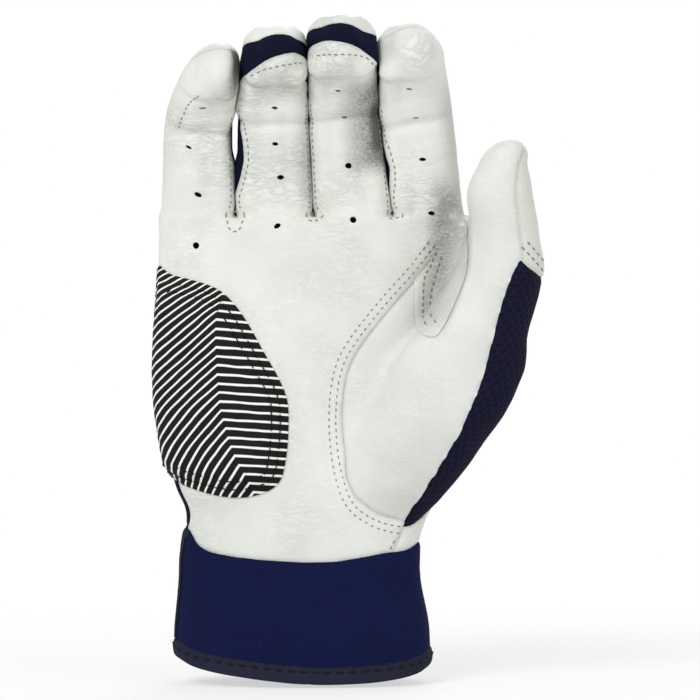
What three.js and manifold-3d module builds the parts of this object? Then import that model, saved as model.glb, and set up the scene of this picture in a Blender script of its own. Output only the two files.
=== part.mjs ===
// A right-hand batting glove, filled out as on a hand: palm to -Y, fingers up +Z, thumb to +X.
// All sizes are in millimetres. The glove is drawn with straight fingers, cut into its sewn panels
// along the seams, and each finger is then curled forward about its own two joints.
import * as THREE from "three";
import { mergeVertices } from "three/addons/utils/BufferGeometryUtils.js";
import Module from "manifold-3d";

const wasm = await Module();
wasm.setup();

// Materials' thicknesses and the gaps between pieces
const leatherThickness = 1.1;
const seamGap = 0.35;
const jointGap = 0.5;
const layerGap = 0.3;

// The hand, from the cuff's hem to the finger crotches
const cuffWidth = 80;
const cuffDepth = 36;
const waistWidth = 74.5;
const waistDepth = 30;
const palmWidth = 95.5;
const palmDepth = 30;
const knuckleWidth = 95;
const knuckleDepth = 25;
const cuffHeight = 40;
const palmLength = 106;
const handCentre = -12.3;
const cuffCentre = -15;
const backwardLean = 4.8;
const crotchZ = cuffHeight + palmLength;

// How boxy the sections are, where 2 is an ellipse, and how many corners they are drawn with
const handSquareness = 2.3;
const fingerSquareness = 2.15;
const fingertipSquareness = 2.3;
const handCorners = 24;
const thumbCorners = 16;
const webCorners = 12;
const fingerCorners = 15;

// The strips let in between the fingers, and the height of their webs above the crotches
const gussetWidth = 9.4;
const webHeight = 4;
const stripShortfall = 9;

// The cuff: its band, the tape that binds its hem and its slit, and the hem's raised corners
const cuffOutside = 0.5;
const cuffInside = 1.7;
const bindingThickness = 0.9;
const bindingHeight = 5.6;
const hemFlatWidth = 38;
const hemRise = 6.5;
const slitY = 2;
const slitWidth = 1;
const slitBindingWidth = 3;
const backSlitX = 6;

// The closure on the back of the cuff
const strapRootX = 12;
const strapRootWidth = 7;
const strapLength = 45;
const strapLow = 9.8;
const strapHeight = 24.2;
const strapThickness = 1.6;
const hookThickness = 0.8;
const hookLength = 24;
const loopThickness = 1;
const loopLength = 34;
const tabLength = 11;
const tabThickness = 2.4;
const fastenerMargin = 1;

// The padded patch on the heel of the hand: its foam, and the cover that rises to it in small steps,
// each so far in from the outline and up by such a share of the whole rise
const foamThickness = 2.4;
const foamInset = 6;
const patchSkin = 0.8;
const patchLeftY = 2;
const padSteps = [[0, 0], [2, 0.4], [3.6, 0.75]];

// The tongue sewn on in the crotch of the thumb
const tongueThickness = 1.1;

// The air holes punched in the finger fronts
const ventRadius = 1.2;
const ventDepth = 8;

// Four fingers: where the base stands across the hand, the straight finger's lean in degrees, its
// length from the crotch, its widths and depth, how far its tip points towards the thumb side, the
// bends at its two joints in degrees, the heights of its air holes, and which side its front leather
// wraps round: -1 little side, 1 thumb side.
const fingerSpecs = [
  {
    name: "little", baseX: -48.2, lean: 0.3, length: 58,
    baseWidth: 22.6, middleWidth: 21.4, tipWidth: 17.2, depth: 20, tipShift: 8.5,
    bends: [26, 36], vents: [-9, 7, 23, 36], wraps: -1,
  },
  {
    name: "ring", baseX: -23.6, lean: -1.5, length: 64,
    baseWidth: 23.2, middleWidth: 22, tipWidth: 18.6, depth: 21, tipShift: 3,
    bends: [26, 36], vents: [-3, 13, 24, 37], wraps: 0,
  },
  {
    name: "middle", baseX: 0.9, lean: -5, length: 67,
    baseWidth: 23.6, middleWidth: 21.6, tipWidth: 19.8, depth: 21.5, tipShift: 1.5,
    bends: [24, 36], vents: [-1, 16, 33, 42], wraps: 0,
  },
  {
    name: "index", baseX: 25, lean: -7.5, length: 64,
    baseWidth: 21.4, middleWidth: 22.8, tipWidth: 20, depth: 21, tipShift: 1.5,
    bends: [22, 30], vents: [1, 18, 33, 44], wraps: 1,
  },
];
const fingerRoot = -14;
const baseBend = 7;
const baseBendLength = 16;
const firstJointShare = 0.52;
const secondJointShare = 0.8;
const bendSpread = 8;
const bendRingStep = 4.4;
const fingertipShare = 0.56;

// The thumb from its root in the palm: centre and size of its section at each height
const thumbTipZ = 169.4;
const thumbSections = [
  { z: 52, x: 8, y: 0, width: 32, depth: 18 },
  { z: 60, x: 12, y: -5, width: 37, depth: 22 },
  { z: 71, x: 18, y: -8, width: 42, depth: 26 },
  { z: 85, x: 27.3, y: -11, width: 43, depth: 29 },
  { z: 97, x: 33, y: -13, width: 42, depth: 29 },
  { z: 110, x: 38, y: -15.5, width: 34.8, depth: 28 },
  { z: 120, x: 42.8, y: -17, width: 30.8, depth: 26 },
  { z: 130, x: 46.7, y: -19, width: 27, depth: 24 },
  { z: 142, x: 47.4, y: -21, width: 21.4, depth: 22 },
  { z: 153, x: 46, y: -23, width: 20.2, depth: 20 },
  { z: 162, x: 46.8, y: -24, width: 15.4, depth: 17 },
];
const thumbTipLean = 0.9;

// The web of leather between the thumb and the hand, as flattened sections turned about Z
const webTurn = -48;
const webSections = [
  { z: 92, x: 32, y: -7, width: 24, depth: 16 },
  { z: 112, x: 35, y: -8, width: 30, depth: 14 },
  { z: 126, x: 37, y: -9, width: 32, depth: 11 },
  { z: 136, x: 38, y: -10, width: 30, depth: 8 },
  { z: 140, x: 38, y: -10, width: 26, depth: 4 },
];

// The thumb tip's joint plane, and the seam round its side piece
const thumbJointStart = [36.2, 142.6];
const thumbJointEnd = [70, 119];
const thumbSideSeam = [[53.5, 128], [52.4, 136], [51, 150], [51.5, 160], [54, 170]];
const thumbBackSeamX = 43;
const thumbTipSeamY = -24;

// Seams and outlines as seen from the palm side, as [x, z]
const thenarSeam = [
  [18.6, 51], [14, 51.5], [8, 53.5], [2, 58.5], [-1.5, 70], [-2.6, 84], [-1, 97], [3.5, 106], [13, 118],
  [21, 127], [28, 136], [34, 142], [40, 146],
];
const meshSeam = [
  [12, 37], [17, 51], [22, 59], [31, 73.5], [40, 93], [44, 108], [46.5, 118], [50, 128], [54, 134.5],
];
const webSeam = [[27, 74], [30, 80], [34.5, 90], [38.5, 105], [41, 122], [43, 146]];
const patchOutline = [
  [-66, 130.5], [-55.7, 127.8], [-41.7, 123.5], [-34, 116], [-27, 104], [-20.5, 92], [-19.1, 84],
  [-19.8, 71], [-22.5, 62.5], [-30.8, 58.8], [-40, 58.8], [-50, 61.5], [-55, 64], [-66, 71],
];
const tongueOutline = [
  [20.8, 126], [19.8, 119], [20.3, 112.5], [24.5, 108.6], [28.8, 111.5], [31.5, 118], [33.2, 124], [30, 131],
];
const cuffSeam = [
  [-59, 55], [-51.5, 48.8], [-47.6, 43], [-42, 40.9], [-33, 39.6], [-20, 38.6], [-6, 38.4], [5, 40],
  [12, 41.2], [18, 41.6], [24, 45], [32, 50],
];

// Seams as seen from the thumb side, as [y, z]
const ulnarSeam = [[0.5, 38], [1, 57], [4, 80], [7.5, 104], [9.5, 151]];
const radialSeam = [[6, 34], [5, 62], [1.8, 75], [4, 85], [7.5, 106], [9.5, 151]];

// The ribbed panel that stretches over the knuckles
const flexPanel = { left: -52, right: 28, bottom: 117, top: 139 };

// Colours and finishes
const finish = (color, roughness) =>
  new THREE.MeshStandardMaterial({ color, roughness, metalness: 0 });
const whiteLeather = finish(0xe3e6df, 0.55);
const navyMesh = finish(0x16182c, 0.9);
const navyKnit = finish(0x182149, 0.85);
const darkTape = finish(0x23263a, 0.7);
const blackPatch = finish(0x1c1a1a, 0.7);
const greyFoam = finish(0x5a5c60, 0.95);
const blackFastener = finish(0x121316, 0.85);
const blackRubber = finish(0x18191c, 0.5);

const degrees = THREE.MathUtils.degToRad;
const { clamp, lerp, smoothstep } = THREE.MathUtils;
const point = (x, y, z) => new THREE.Vector3(x, y, z);
const pair = ([u, v]) => new THREE.Vector2(u, v);

// Closed solids from three.js geometry, joined and cut
function solidOf(geometry) {
  const bare = geometry.clone();
  bare.deleteAttribute("normal");
  bare.deleteAttribute("uv");
  const merged = mergeVertices(bare, 1e-4);
  return new wasm.Manifold(
    new wasm.Mesh({
      numProp: 3,
      vertProperties: merged.attributes.position.array,
      triVerts: new Uint32Array(merged.index.array),
    }),
  );
}

const unite = (solids) => solids.reduce((sum, each) => sum.add(each));
const cut = (solid, tools) => tools.reduce((left, tool) => left.subtract(tool), solid);

function box(x0, x1, y0, y1, z0, z1) {
  const geometry = new THREE.BoxGeometry(x1 - x0, y1 - y0, z1 - z0);
  return solidOf(geometry.translate((x0 + x1) / 2, (y0 + y1) / 2, (z0 + z1) / 2));
}

// A closed skin through rings of points, with a fan of triangles over each end
function loft(rings) {
  const count = rings[0].length;
  const centreOf = (ring) => ring.reduce((sum, p) => sum.add(p), point(0, 0, 0)).divideScalar(count);
  const points = rings.flat();
  const faces = [];
  for (let r = 0; r + 1 < rings.length; r++) {
    for (let i = 0; i < count; i++) {
      const a = r * count + i;
      const b = r * count + ((i + 1) % count);
      faces.push(a, b, b + count, a, b + count, a + count);
    }
  }
  const bottom = points.push(centreOf(rings[0])) - 1;
  const top = points.push(centreOf(rings[rings.length - 1])) - 1;
  const last = (rings.length - 1) * count;
  for (let i = 0; i < count; i++) {
    const next = (i + 1) % count;
    faces.push(bottom, next, i, top, last + i, last + next);
  }
  const geometry = new THREE.BufferGeometry().setFromPoints(points);
  geometry.setIndex(faces);
  return solidOf(geometry);
}

// A rounded section of 2 half-sizes: squareness 2 is an ellipse, and more is boxier
function sectionRing(count, halfWidth, halfDepth, squareness, place) {
  const round = (value) => Math.sign(value) * Math.abs(value) ** (2 / squareness);
  return Array.from({ length: count }, (_, i) => {
    const angle = (2 * Math.PI * i) / count;
    return place(halfWidth * round(Math.cos(angle)), halfDepth * round(Math.sin(angle)));
  });
}

// Prisms on outlines drawn in the XZ or YZ plane, running from low to high along the third axis
const smoothLine = (points, steps) => new THREE.SplineCurve(points.map(pair)).getPoints(steps);
const planes = {
  xz: new THREE.Matrix4().makeBasis(point(1, 0, 0), point(0, 0, 1), point(0, -1, 0)),
  yz: new THREE.Matrix4().makeBasis(point(0, 1, 0), point(0, 0, 1), point(1, 0, 0)),
};
const front = -60;
const back = 60;

function prism(outline, plane = "xz", low = front, high = back) {
  const geometry = new THREE.ExtrudeGeometry(new THREE.Shape(outline), {
    depth: high - low,
    bevelEnabled: false,
  });
  geometry.translate(0, 0, plane === "xz" ? -high : low);
  return solidOf(geometry.applyMatrix4(planes[plane]));
}

// A thin wall along a line, which parts the panels on its two sides
function seamWall(line, plane, low, high, width = seamGap) {
  const side = (sign) =>
    line.map((p, i) => {
      const before = line[Math.max(i - 1, 0)];
      const after = line[Math.min(i + 1, line.length - 1)];
      const along = after.clone().sub(before).normalize();
      return pair([-along.y, along.x]).multiplyScalar((sign * width) / 2).add(p);
    });
  return prism([...side(-1), ...side(1).reverse()], plane, low, high);
}

// An outline drawn in by a distance towards its inside
function inset(outline, distance) {
  const clockwise = THREE.ShapeUtils.isClockWise(outline) ? -1 : 1;
  return outline.map((p, i) => {
    const before = outline.at(i - 1);
    const after = outline[(i + 1) % outline.length];
    const along = after.clone().sub(before).normalize();
    return pair([-along.y, along.x]).multiplyScalar(clockwise * distance).add(p);
  });
}

// The glove's form grown by a distance, so that skins and layers come from the same sizes
const cuffZ = (share) => share * cuffHeight;
const palmZ = (share) => cuffHeight + share * palmLength;
const handSections = [
  { z: cuffZ(0), x: cuffCentre, width: cuffWidth, depth: cuffDepth },
  { z: cuffZ(0.4), x: cuffCentre, width: cuffWidth - 1, depth: cuffDepth - 1 },
  { z: cuffZ(0.9), x: cuffCentre - 0.8, width: waistWidth, depth: waistDepth },
  { z: palmZ(0.12), x: cuffCentre + 0.6, width: waistWidth, depth: waistDepth },
  { z: palmZ(0.32), x: handCentre - 2.5, width: palmWidth - 8.5, depth: palmDepth },
  { z: palmZ(0.47), x: handCentre - 1.8, width: palmWidth - 2.5, depth: palmDepth },
  { z: palmZ(0.65), x: handCentre - 1, width: palmWidth, depth: palmDepth },
  { z: palmZ(0.83), x: handCentre - 0.4, width: palmWidth, depth: palmDepth - 2.5 },
  { z: crotchZ, x: handCentre, width: knuckleWidth, depth: knuckleDepth },
];
const leanAt = (z) => backwardLean * Math.max(0, (z - cuffHeight) / palmLength);

function handForm(grow) {
  const last = handSections.length - 1;
  const rings = handSections.map((section, i) => {
    const z = i === 0 ? section.z - 1 : i === last ? section.z + grow : section.z;
    const halfWidth = section.width / 2 + grow;
    return sectionRing(handCorners, halfWidth, section.depth / 2 + grow, handSquareness, (u, v) =>
      point(section.x + u, leanAt(section.z) + v, z),
    );
  });
  return loft(rings);
}

function thumbForm(grow) {
  const top = thumbSections.at(-1);
  const dome = [0.5, 0.82, 0.97].map((share) => ({
    ...top,
    z: top.z + share * (thumbTipZ + grow - top.z),
    x: top.x + share * thumbTipLean,
    scale: Math.sqrt(1 - share ** 2),
  }));
  const rings = [...thumbSections, ...dome].map(({ x, y, z, width, depth, scale = 1 }) =>
    sectionRing(thumbCorners, (width / 2 + grow) * scale, (depth / 2 + grow) * scale, 2, (u, v) =>
      point(x + u, y + v, z),
    ),
  );
  return loft(rings);
}

function webForm(grow) {
  const cos = Math.cos(degrees(webTurn));
  const sin = Math.sin(degrees(webTurn));
  const last = webSections.length - 1;
  const rings = webSections.map(({ x, y, z, width, depth }, i) =>
    sectionRing(webCorners, width / 2 + grow, depth / 2 + grow, 2, (u, v) =>
      point(x + u * cos - v * sin, y + u * sin + v * cos, i === last ? z + grow : z),
    ),
  );
  return loft(rings);
}

// A finger's own frame: v runs along it from the crotch, s across it and n out of the palm side
function fingerFrame(spec) {
  const lean = degrees(spec.lean);
  return {
    origin: point(spec.baseX, backwardLean, crotchZ),
    along: point(Math.sin(lean), 0, Math.cos(lean)),
    across: point(Math.cos(lean), 0, -Math.sin(lean)),
    front: point(0, -1, 0),
  };
}

function placeIn(frame, s, v, n) {
  const place = frame.origin.clone().addScaledVector(frame.across, s);
  return place.addScaledVector(frame.along, v).addScaledVector(frame.front, n);
}

const bendStartOf = (spec) => firstJointShare * spec.length - bendSpread;

// The sections of a finger stand closer together from where it starts to bend
function fingerStations(spec, straight) {
  const bendStart = bendStartOf(spec);
  const count = Math.ceil((straight - bendStart) / bendRingStep);
  const bent = Array.from({ length: count + 1 }, (_, i) => lerp(bendStart, straight, i / count));
  return [fingerRoot, 0, bendStart / 2, ...bent];
}

// A bent finger also drifts sideways towards its tip
function shiftAt(spec, v) {
  const bendStart = bendStartOf(spec);
  return spec.tipShift * clamp((v - bendStart) / (spec.length - bendStart), 0, 1) ** 2;
}

function fingerForm(spec, grow) {
  const frame = fingerFrame(spec);
  const dome = spec.tipWidth * fingertipShare;
  const straight = spec.length - dome;
  const middle = spec.length / 2;
  const body = fingerStations(spec, straight).map((v) => {
    const width = v < middle
      ? lerp(spec.baseWidth, spec.middleWidth, clamp(v / middle, 0, 1))
      : lerp(spec.middleWidth, spec.tipWidth, (v - middle) / (straight - middle));
    return { v, width, scale: 1 };
  });
  const tip = [0.4, 0.72, 0.95].map((share) => ({
    v: straight + share * (dome + grow),
    width: spec.tipWidth,
    scale: (1 - share ** fingertipSquareness) ** (1 / fingertipSquareness),
  }));
  const rings = [...body, ...tip].map(({ v, width, scale }) => {
    const depth = lerp(spec.depth + 1.5, spec.depth, clamp(v / straight, 0, 1));
    const halfWidth = (width / 2 + grow) * scale;
    const shift = shiftAt(spec, v);
    return sectionRing(fingerCorners, halfWidth, (depth / 2 + grow) * scale, fingerSquareness, (s, n) =>
      placeIn(frame, s + shift, v, -n),
    );
  });
  return loft(rings);
}

function wholeForm(grow) {
  return unite([
    handForm(grow), thumbForm(grow), webForm(grow), ...fingerSpecs.map((spec) => fingerForm(spec, grow)),
  ]);
}

const layer = (inner, outer) => wholeForm(outer).subtract(wholeForm(inner));
const cuffLayer = (inner, outer) => handForm(outer).subtract(handForm(inner));

// The walls that part the panels of the hand. Each seam runs on one side of the hand only, so its
// wall ends between the palm and the back, or between the thumb and the palm.
const palmWallY = -6;
const thumbRootWallY = 0;
const thenarWallY = 11;
const webWallY = [-13, 7];
const backWallY = 8;
const littleSideX = [-75, -40];
const thumbSideX = [14, 48];

function handWalls() {
  const frontSeamY = backwardLean - gussetWidth / 2;
  const backSeamY = backwardLean + gussetWidth / 2;
  const low = crotchZ - webHeight;
  const high = crotchZ + 1.5 * webHeight;
  const { left, right, bottom, top } = flexPanel;
  const half = seamGap / 2;
  const [little, , , index] = fingerSpecs;
  const flexOutside = box(left - half, right + half, backWallY, back, bottom - half, top + half);
  const flexInside = box(left + half, right - half, backWallY - 1, back + 1, bottom + half, top - half);
  const backSeamLeft = little.baseX - little.baseWidth;
  const backSeamRight = index.baseX + index.baseWidth;
  return [
    seamWall(smoothLine(thenarSeam, 30), "xz", front, thenarWallY),
    seamWall(smoothLine(meshSeam, 16), "xz", front, palmWallY),
    seamWall(smoothLine(meshSeam.slice(0, 4), 6), "xz", front, thumbRootWallY),
    seamWall(smoothLine(webSeam, 10), "xz", ...webWallY),
    seamWall(smoothLine(ulnarSeam, 10), "yz", ...littleSideX),
    seamWall(smoothLine(radialSeam, 12), "yz", ...thumbSideX),
    box(little.baseX, index.baseX, frontSeamY - half, frontSeamY + half, low, high),
    box(backSeamLeft, backSeamRight, backSeamY - half, backSeamY + half, low, high),
    flexOutside.subtract(flexInside),
  ];
}

// The walls inside the thumb tip: its joint, and the seam round its side piece
function thumbWalls() {
  const half = seamGap / 2;
  const [sideTopX, sideTopZ] = thumbSideSeam.at(-1);
  const backX = thumbBackSeamX;
  const seamY = thumbTipSeamY;
  const top = thumbTipZ + 4;
  return [
    seamWall([thumbJointStart, thumbJointEnd].map(pair), "xz", front, 2, jointGap),
    seamWall(smoothLine(thumbSideSeam, 8), "xz", front, seamY + half),
    box(backX - half, sideTopX + 2, seamY - half, seamY + half, sideTopZ - 5, top),
    box(backX - half, backX + half, seamY - half, 0, thumbJointStart[1] - 5, top),
  ];
}

// The walls inside one finger, as boxes in its own frame
function fingerWalls(spec) {
  const frame = fingerFrame(spec);
  const turn = new THREE.Matrix4().makeBasis(frame.across, frame.along, frame.front);
  turn.setPosition(frame.origin);
  const block = ([s0, s1], [v0, v1], [n0, n1]) => {
    const geometry = new THREE.BoxGeometry(s1 - s0, v1 - v0, n1 - n0);
    geometry.translate((s0 + s1) / 2, (v0 + v1) / 2, (n0 + n1) / 2);
    return solidOf(geometry.applyMatrix4(turn));
  };
  const half = spec.baseWidth / 2 + seamGap;
  const seam = gussetWidth / 2;
  const slab = (n) => [n - seamGap / 2, n + seamGap / 2];
  const end = spec.length - stripShortfall;
  const right = Math.max(half, spec.tipWidth / 2 + seamGap + shiftAt(spec, end));
  const across = [-half, right];
  const along = [webHeight - 1, spec.length + 3];
  const walls = [
    block(across, [webHeight, webHeight + jointGap], [-spec.depth, spec.depth]),
    block(across, along, slab(-seam)),
  ];
  if (spec.wraps === 0) return [...walls, block(across, along, slab(seam))];
  const open = spec.wraps < 0 ? [0, right] : [-half, 0];
  return [
    ...walls,
    block(open, [along[0], end], slab(seam)),
    block(open, [end, end + seamGap], [-seam, seam + seamGap / 2]),
  ];
}

function ventCutters(spec) {
  const frame = fingerFrame(spec);
  return spec.vents.map((v) => {
    const { x, y, z } = placeIn(frame, 0, v, spec.depth / 2);
    const hole = new THREE.CylinderGeometry(ventRadius, ventRadius, ventDepth, 8);
    return solidOf(hole.translate(x, y, z));
  });
}

// The finger's centre line turns forward at its base and its two joints, and its panels follow
function curler(spec) {
  const frame = fingerFrame(spec);
  const turnAt = (v, share, amount) =>
    degrees(amount) * smoothstep(v, share * spec.length - bendSpread, share * spec.length + bendSpread);
  const angleAt = (v) =>
    degrees(baseBend) * smoothstep(v, webHeight, webHeight + baseBendLength) +
    turnAt(v, firstJointShare, spec.bends[0]) +
    turnAt(v, secondJointShare, spec.bends[1]);
  const step = 0.25;
  const line = [[0, 0]];
  for (let v = 0; v < spec.length + 8; v += step) {
    const [height, forward] = line.at(-1);
    const angle = angleAt(v + step / 2);
    line.push([height + step * Math.cos(angle), forward + step * Math.sin(angle)]);
  }
  return (p) => {
    const from = p.clone().sub(frame.origin);
    const v = from.dot(frame.along);
    if (v <= 0) return p;
    const n = from.dot(frame.front);
    const place = v / step;
    const low = Math.floor(place);
    const height = lerp(line[low][0], line[low + 1][0], place - low);
    const forward = lerp(line[low][1], line[low + 1][1], place - low);
    const angle = angleAt(v);
    return placeIn(
      frame, from.dot(frame.across), height - n * Math.sin(angle), forward + n * Math.cos(angle),
    );
  };
}
const stay = (p) => p;

// The cuff's regions as seen from the palm side: its hem's curve below, and its top seam above
const cuffSeamLine = smoothLine(cuffSeam, 18);
function hemLine(rise) {
  const steps = 12;
  const reach = cuffWidth / 2 + 6;
  return Array.from({ length: steps + 1 }, (_, i) => {
    const across = lerp(-reach, reach, i / steps);
    const past = Math.max(0, Math.abs(across) - hemFlatWidth / 2) / (cuffWidth / 2 - hemFlatWidth / 2);
    return pair([cuffCentre + across, hemRise * past ** 2 + rise]);
  });
}

function halfSpace(line, farZ) {
  const right = line.at(-1);
  const corners = [[90, right.y], [90, farZ], [-90, farZ], [-90, line[0].y]];
  return prism([...line, ...corners.map(pair)]);
}
const above = (line) => halfSpace(line, 300);
const below = (line) => halfSpace(line, -20);
const cuffGapWall = seamWall(cuffSeamLine, "xz", front, back);

// A piece is found among the parted solids by the one that passes through a small probe
function pieceAt(pieces, probe) {
  const shares = pieces.map((piece) => piece.intersect(probe).volume());
  return pieces[shares.indexOf(Math.max(...shares))];
}
const column = (x, z, y0, y1) => box(x - 0.5, x + 0.5, y0, y1, z - 0.5, z + 0.5);
const spot = ({ x, y, z }) => box(x - 1.5, x + 1.5, y - 1.5, y + 1.5, z - 1.5, z + 1.5);

// Every piece goes into one group under its own name
const glove = new THREE.Group();
function addPiece(name, solid, material, move = stay) {
  const mesh = solid.getMesh();
  const positions = new Float32Array(mesh.numVert * 3);
  for (let i = 0; i < mesh.numVert; i++) {
    const start = i * mesh.numProp;
    const p = move(point(...mesh.vertProperties.subarray(start, start + 3)));
    positions.set([p.x, p.y, p.z], i * 3);
  }
  const geometry = new THREE.BufferGeometry();
  geometry.setAttribute("position", new THREE.BufferAttribute(positions, 3));
  geometry.setIndex(new THREE.BufferAttribute(mesh.triVerts, 1));
  const piece = new THREE.Mesh(geometry, material);
  piece.name = name;
  glove.add(piece);
}

// The palm, thumb, back and finger panels: one skin parted along every seam
const panels = cut(layer(-leatherThickness, 0).intersect(above(cuffSeamLine)), [
  cuffGapWall,
  ...handWalls(),
  ...thumbWalls(),
  ...fingerSpecs.flatMap(fingerWalls),
  ...fingerSpecs.flatMap(ventCutters),
]).decompose();
const thumbBall = thumbSections[3];
const thumbEnd = thumbSections.at(-2);
const thumbEdgeX = ({ x, width }) => x + width / 2 - 1.5;
const backProbe = (z) => column(handCentre, z, backWallY, back);
addPiece("palm_leather", pieceAt(panels, column(handCentre - 8, palmZ(0.57), front, 0)), whiteLeather);
addPiece("thenar_leather", pieceAt(panels, column(thumbBall.x - 8, thumbBall.z, front, -10)), whiteLeather);
addPiece("thumb_back_mesh", pieceAt(panels, column(thumbEdgeX(thumbBall), thumbBall.z, front, 0)), navyMesh);
addPiece("back_of_hand_mesh", pieceAt(panels, backProbe(palmZ(0.47))), navyMesh);
addPiece("knuckle_flex_panel", pieceAt(panels, backProbe((flexPanel.bottom + flexPanel.top) / 2)), navyKnit);
const thumbFrontProbe = column(thumbEnd.x - 2, thumbEnd.z, front, thumbTipSeamY);
const thumbCapProbe = column(thumbEnd.x + 2, thumbEnd.z, thumbTipSeamY + 1, 0);
addPiece("thumb_front_leather", pieceAt(panels, thumbFrontProbe), whiteLeather);
addPiece("thumb_tip_cap", pieceAt(panels, thumbCapProbe), whiteLeather);

fingerSpecs.slice(1).forEach((spec, i) => {
  const before = fingerSpecs[i];
  const x = (before.baseX + before.baseWidth / 2 + spec.baseX - spec.baseWidth / 2) / 2;
  const probe = box(x - 1, x + 1, backwardLean - 2, backwardLean + 2, crotchZ - 2, crotchZ + 3);
  addPiece(`gusset_web_${before.name}_${spec.name}`, pieceAt(panels, probe), navyMesh);
});

for (const spec of fingerSpecs) {
  const frame = fingerFrame(spec);
  const stripSide = spec.wraps > 0 ? -1 : 1;
  const middle = spec.length / 2;
  const find = (s, n) => pieceAt(panels, spot(placeIn(frame, s, middle, n)));
  const curl = curler(spec);
  addPiece(`${spec.name}_front_leather`, find(0, spec.depth / 2), whiteLeather, curl);
  addPiece(`${spec.name}_gusset_strip`, find((stripSide * spec.middleWidth) / 2, 0), navyMesh, curl);
  addPiece(`${spec.name}_back_leather`, find(0, -spec.depth / 2), whiteLeather, curl);
}

// The cuff, in a palm part and a back part, with tape round its hem and along its slit
const tapeRoom = bindingThickness + layerGap;
const slitFront = slitY - slitWidth / 2;
const slitBack = slitY + slitWidth / 2;
const slitCut = (y0, y1) => box(...littleSideX, y0, y1, -20, 70);
const behind = slitY + slitBindingWidth;
const backSlit = box(backSlitX - slitWidth / 2, backSlitX + slitWidth / 2, behind, back, -20, 70);
const belowSeam = below(cuffSeamLine).subtract(cuffGapWall);

const cuffParts = cuffLayer(-cuffInside, cuffOutside)
  .intersect(above(hemLine(tapeRoom)))
  .intersect(belowSeam)
  .subtract(slitCut(slitFront - tapeRoom, slitBack))
  .subtract(backSlit)
  .decompose();
const cuffFront = (z) => column(cuffCentre, z, front, 0);
const cuffBack = (z) => column(cuffCentre, z, behind, back);
addPiece("wrist_cuff", pieceAt(cuffParts, cuffFront(cuffHeight / 2)), navyKnit);
addPiece("cuff_back_panel", pieceAt(cuffParts, cuffBack(cuffHeight / 2)), navyKnit);

const tapeOuter = cuffLayer(-cuffInside - tapeRoom, cuffOutside + tapeRoom);
const tapeInner = cuffLayer(-cuffInside - layerGap, cuffOutside + layerGap);
const hemTapes = tapeOuter
  .intersect(above(hemLine(0)))
  .intersect(below(hemLine(bindingHeight)))
  .subtract(tapeInner.intersect(above(hemLine(bindingThickness))))
  .subtract(slitCut(slitFront, slitBack))
  .subtract(backSlit)
  .decompose();
addPiece("cuff_bottom_binding", pieceAt(hemTapes, cuffFront(bindingHeight / 2)), darkTape);
addPiece("cuff_back_binding", pieceAt(hemTapes, cuffBack(bindingHeight / 2)), darkTape);

const slitTape = tapeOuter
  .intersect(slitCut(slitFront - slitBindingWidth, slitFront))
  .intersect(above(hemLine(bindingHeight + layerGap)))
  .intersect(belowSeam)
  .subtract(tapeInner.intersect(slitCut(front, slitFront - bindingThickness)));
addPiece("cuff_slit_binding", slitTape, darkTape);

// The closure on the back: layers that lie on the cuff, each clear of the one below it
const loopIn = cuffOutside + layerGap;
const hookIn = loopIn + loopThickness + layerGap;
const strapIn = hookIn + hookThickness + layerGap;
const strapOut = strapIn + strapThickness;
const strapTipX = strapRootX - strapLength;
const tabTipX = strapTipX - tabLength;
const tabSpare = (tabThickness - strapThickness) / 2;
const strapTop = strapLow + strapHeight;
const onBack = ([x0, x1], [inner, outer], margin = 0) =>
  cuffLayer(inner, outer).intersect(box(x0, x1, behind, back, strapLow + margin, strapTop - margin));
const loop = onBack([tabTipX, tabTipX + loopLength], [loopIn, loopIn + loopThickness]);
const strapRoot = onBack([strapRootX + layerGap, strapRootX + strapRootWidth], [loopIn, strapOut]);
const strap = onBack([strapTipX, strapRootX], [strapIn, strapOut]);
const hookSpan = [strapTipX + fastenerMargin, strapTipX + hookLength];
const hook = onBack(hookSpan, [hookIn, hookIn + hookThickness], fastenerMargin);
const tabSpan = [tabTipX, strapTipX - layerGap];
const tab = onBack(tabSpan, [strapIn - tabSpare, strapOut + tabSpare], fastenerMargin);
addPiece("loop_patch", loop, blackFastener);
addPiece("strap_root", strapRoot, darkTape);
addPiece("closure_strap", strap, navyKnit);
addPiece("hook_patch", hook, blackFastener);
addPiece("pull_tab", tab, blackRubber);

// The padded patch: a skin that is flat at its border and stands over its foam
function onPalm(inner, outer, distance) {
  const corners = inset(patchOutline.map(pair), distance);
  const outline = new THREE.SplineCurve(corners).getPoints(26);
  return cuffLayer(inner, outer).intersect(prism(outline, "xz", front, patchLeftY - distance));
}
const foamOut = layerGap + foamThickness;
const coverLow = layerGap + patchSkin;
const coverHigh = foamOut + coverLow;
addPiece("heel_pad_foam", onPalm(layerGap, foamOut, foamInset), greyFoam);
const coverSteps = [...padSteps, [foamInset - coverLow, 1]].map(([distance, rise]) =>
  onPalm(layerGap, lerp(coverLow, coverHigh, rise), distance),
);
const foamRoom = onPalm(0, foamOut + layerGap, foamInset - layerGap);
addPiece("heel_pad_cover", unite(coverSteps).subtract(foamRoom), blackPatch);

const tongueParts = layer(layerGap, layerGap + tongueThickness)
  .intersect(prism(smoothLine(tongueOutline, 20), "xz", front, -2))
  .decompose();
const [tongueEdgeX, tongueTopZ] = tongueOutline[0];
const tongue = pieceAt(tongueParts, column(tongueEdgeX + 5, tongueTopZ - 8, front, 0));
addPiece("thumb_crotch_patch", tongue, whiteLeather);

// The origin goes to the middle of the glove's footprint, at the height of the hem
const bounds = new THREE.Box3().setFromObject(glove);
const middle = bounds.getCenter(point(0, 0, 0));
glove.position.set(-middle.x, -middle.y, -bounds.min.z);

export default glove;
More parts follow.
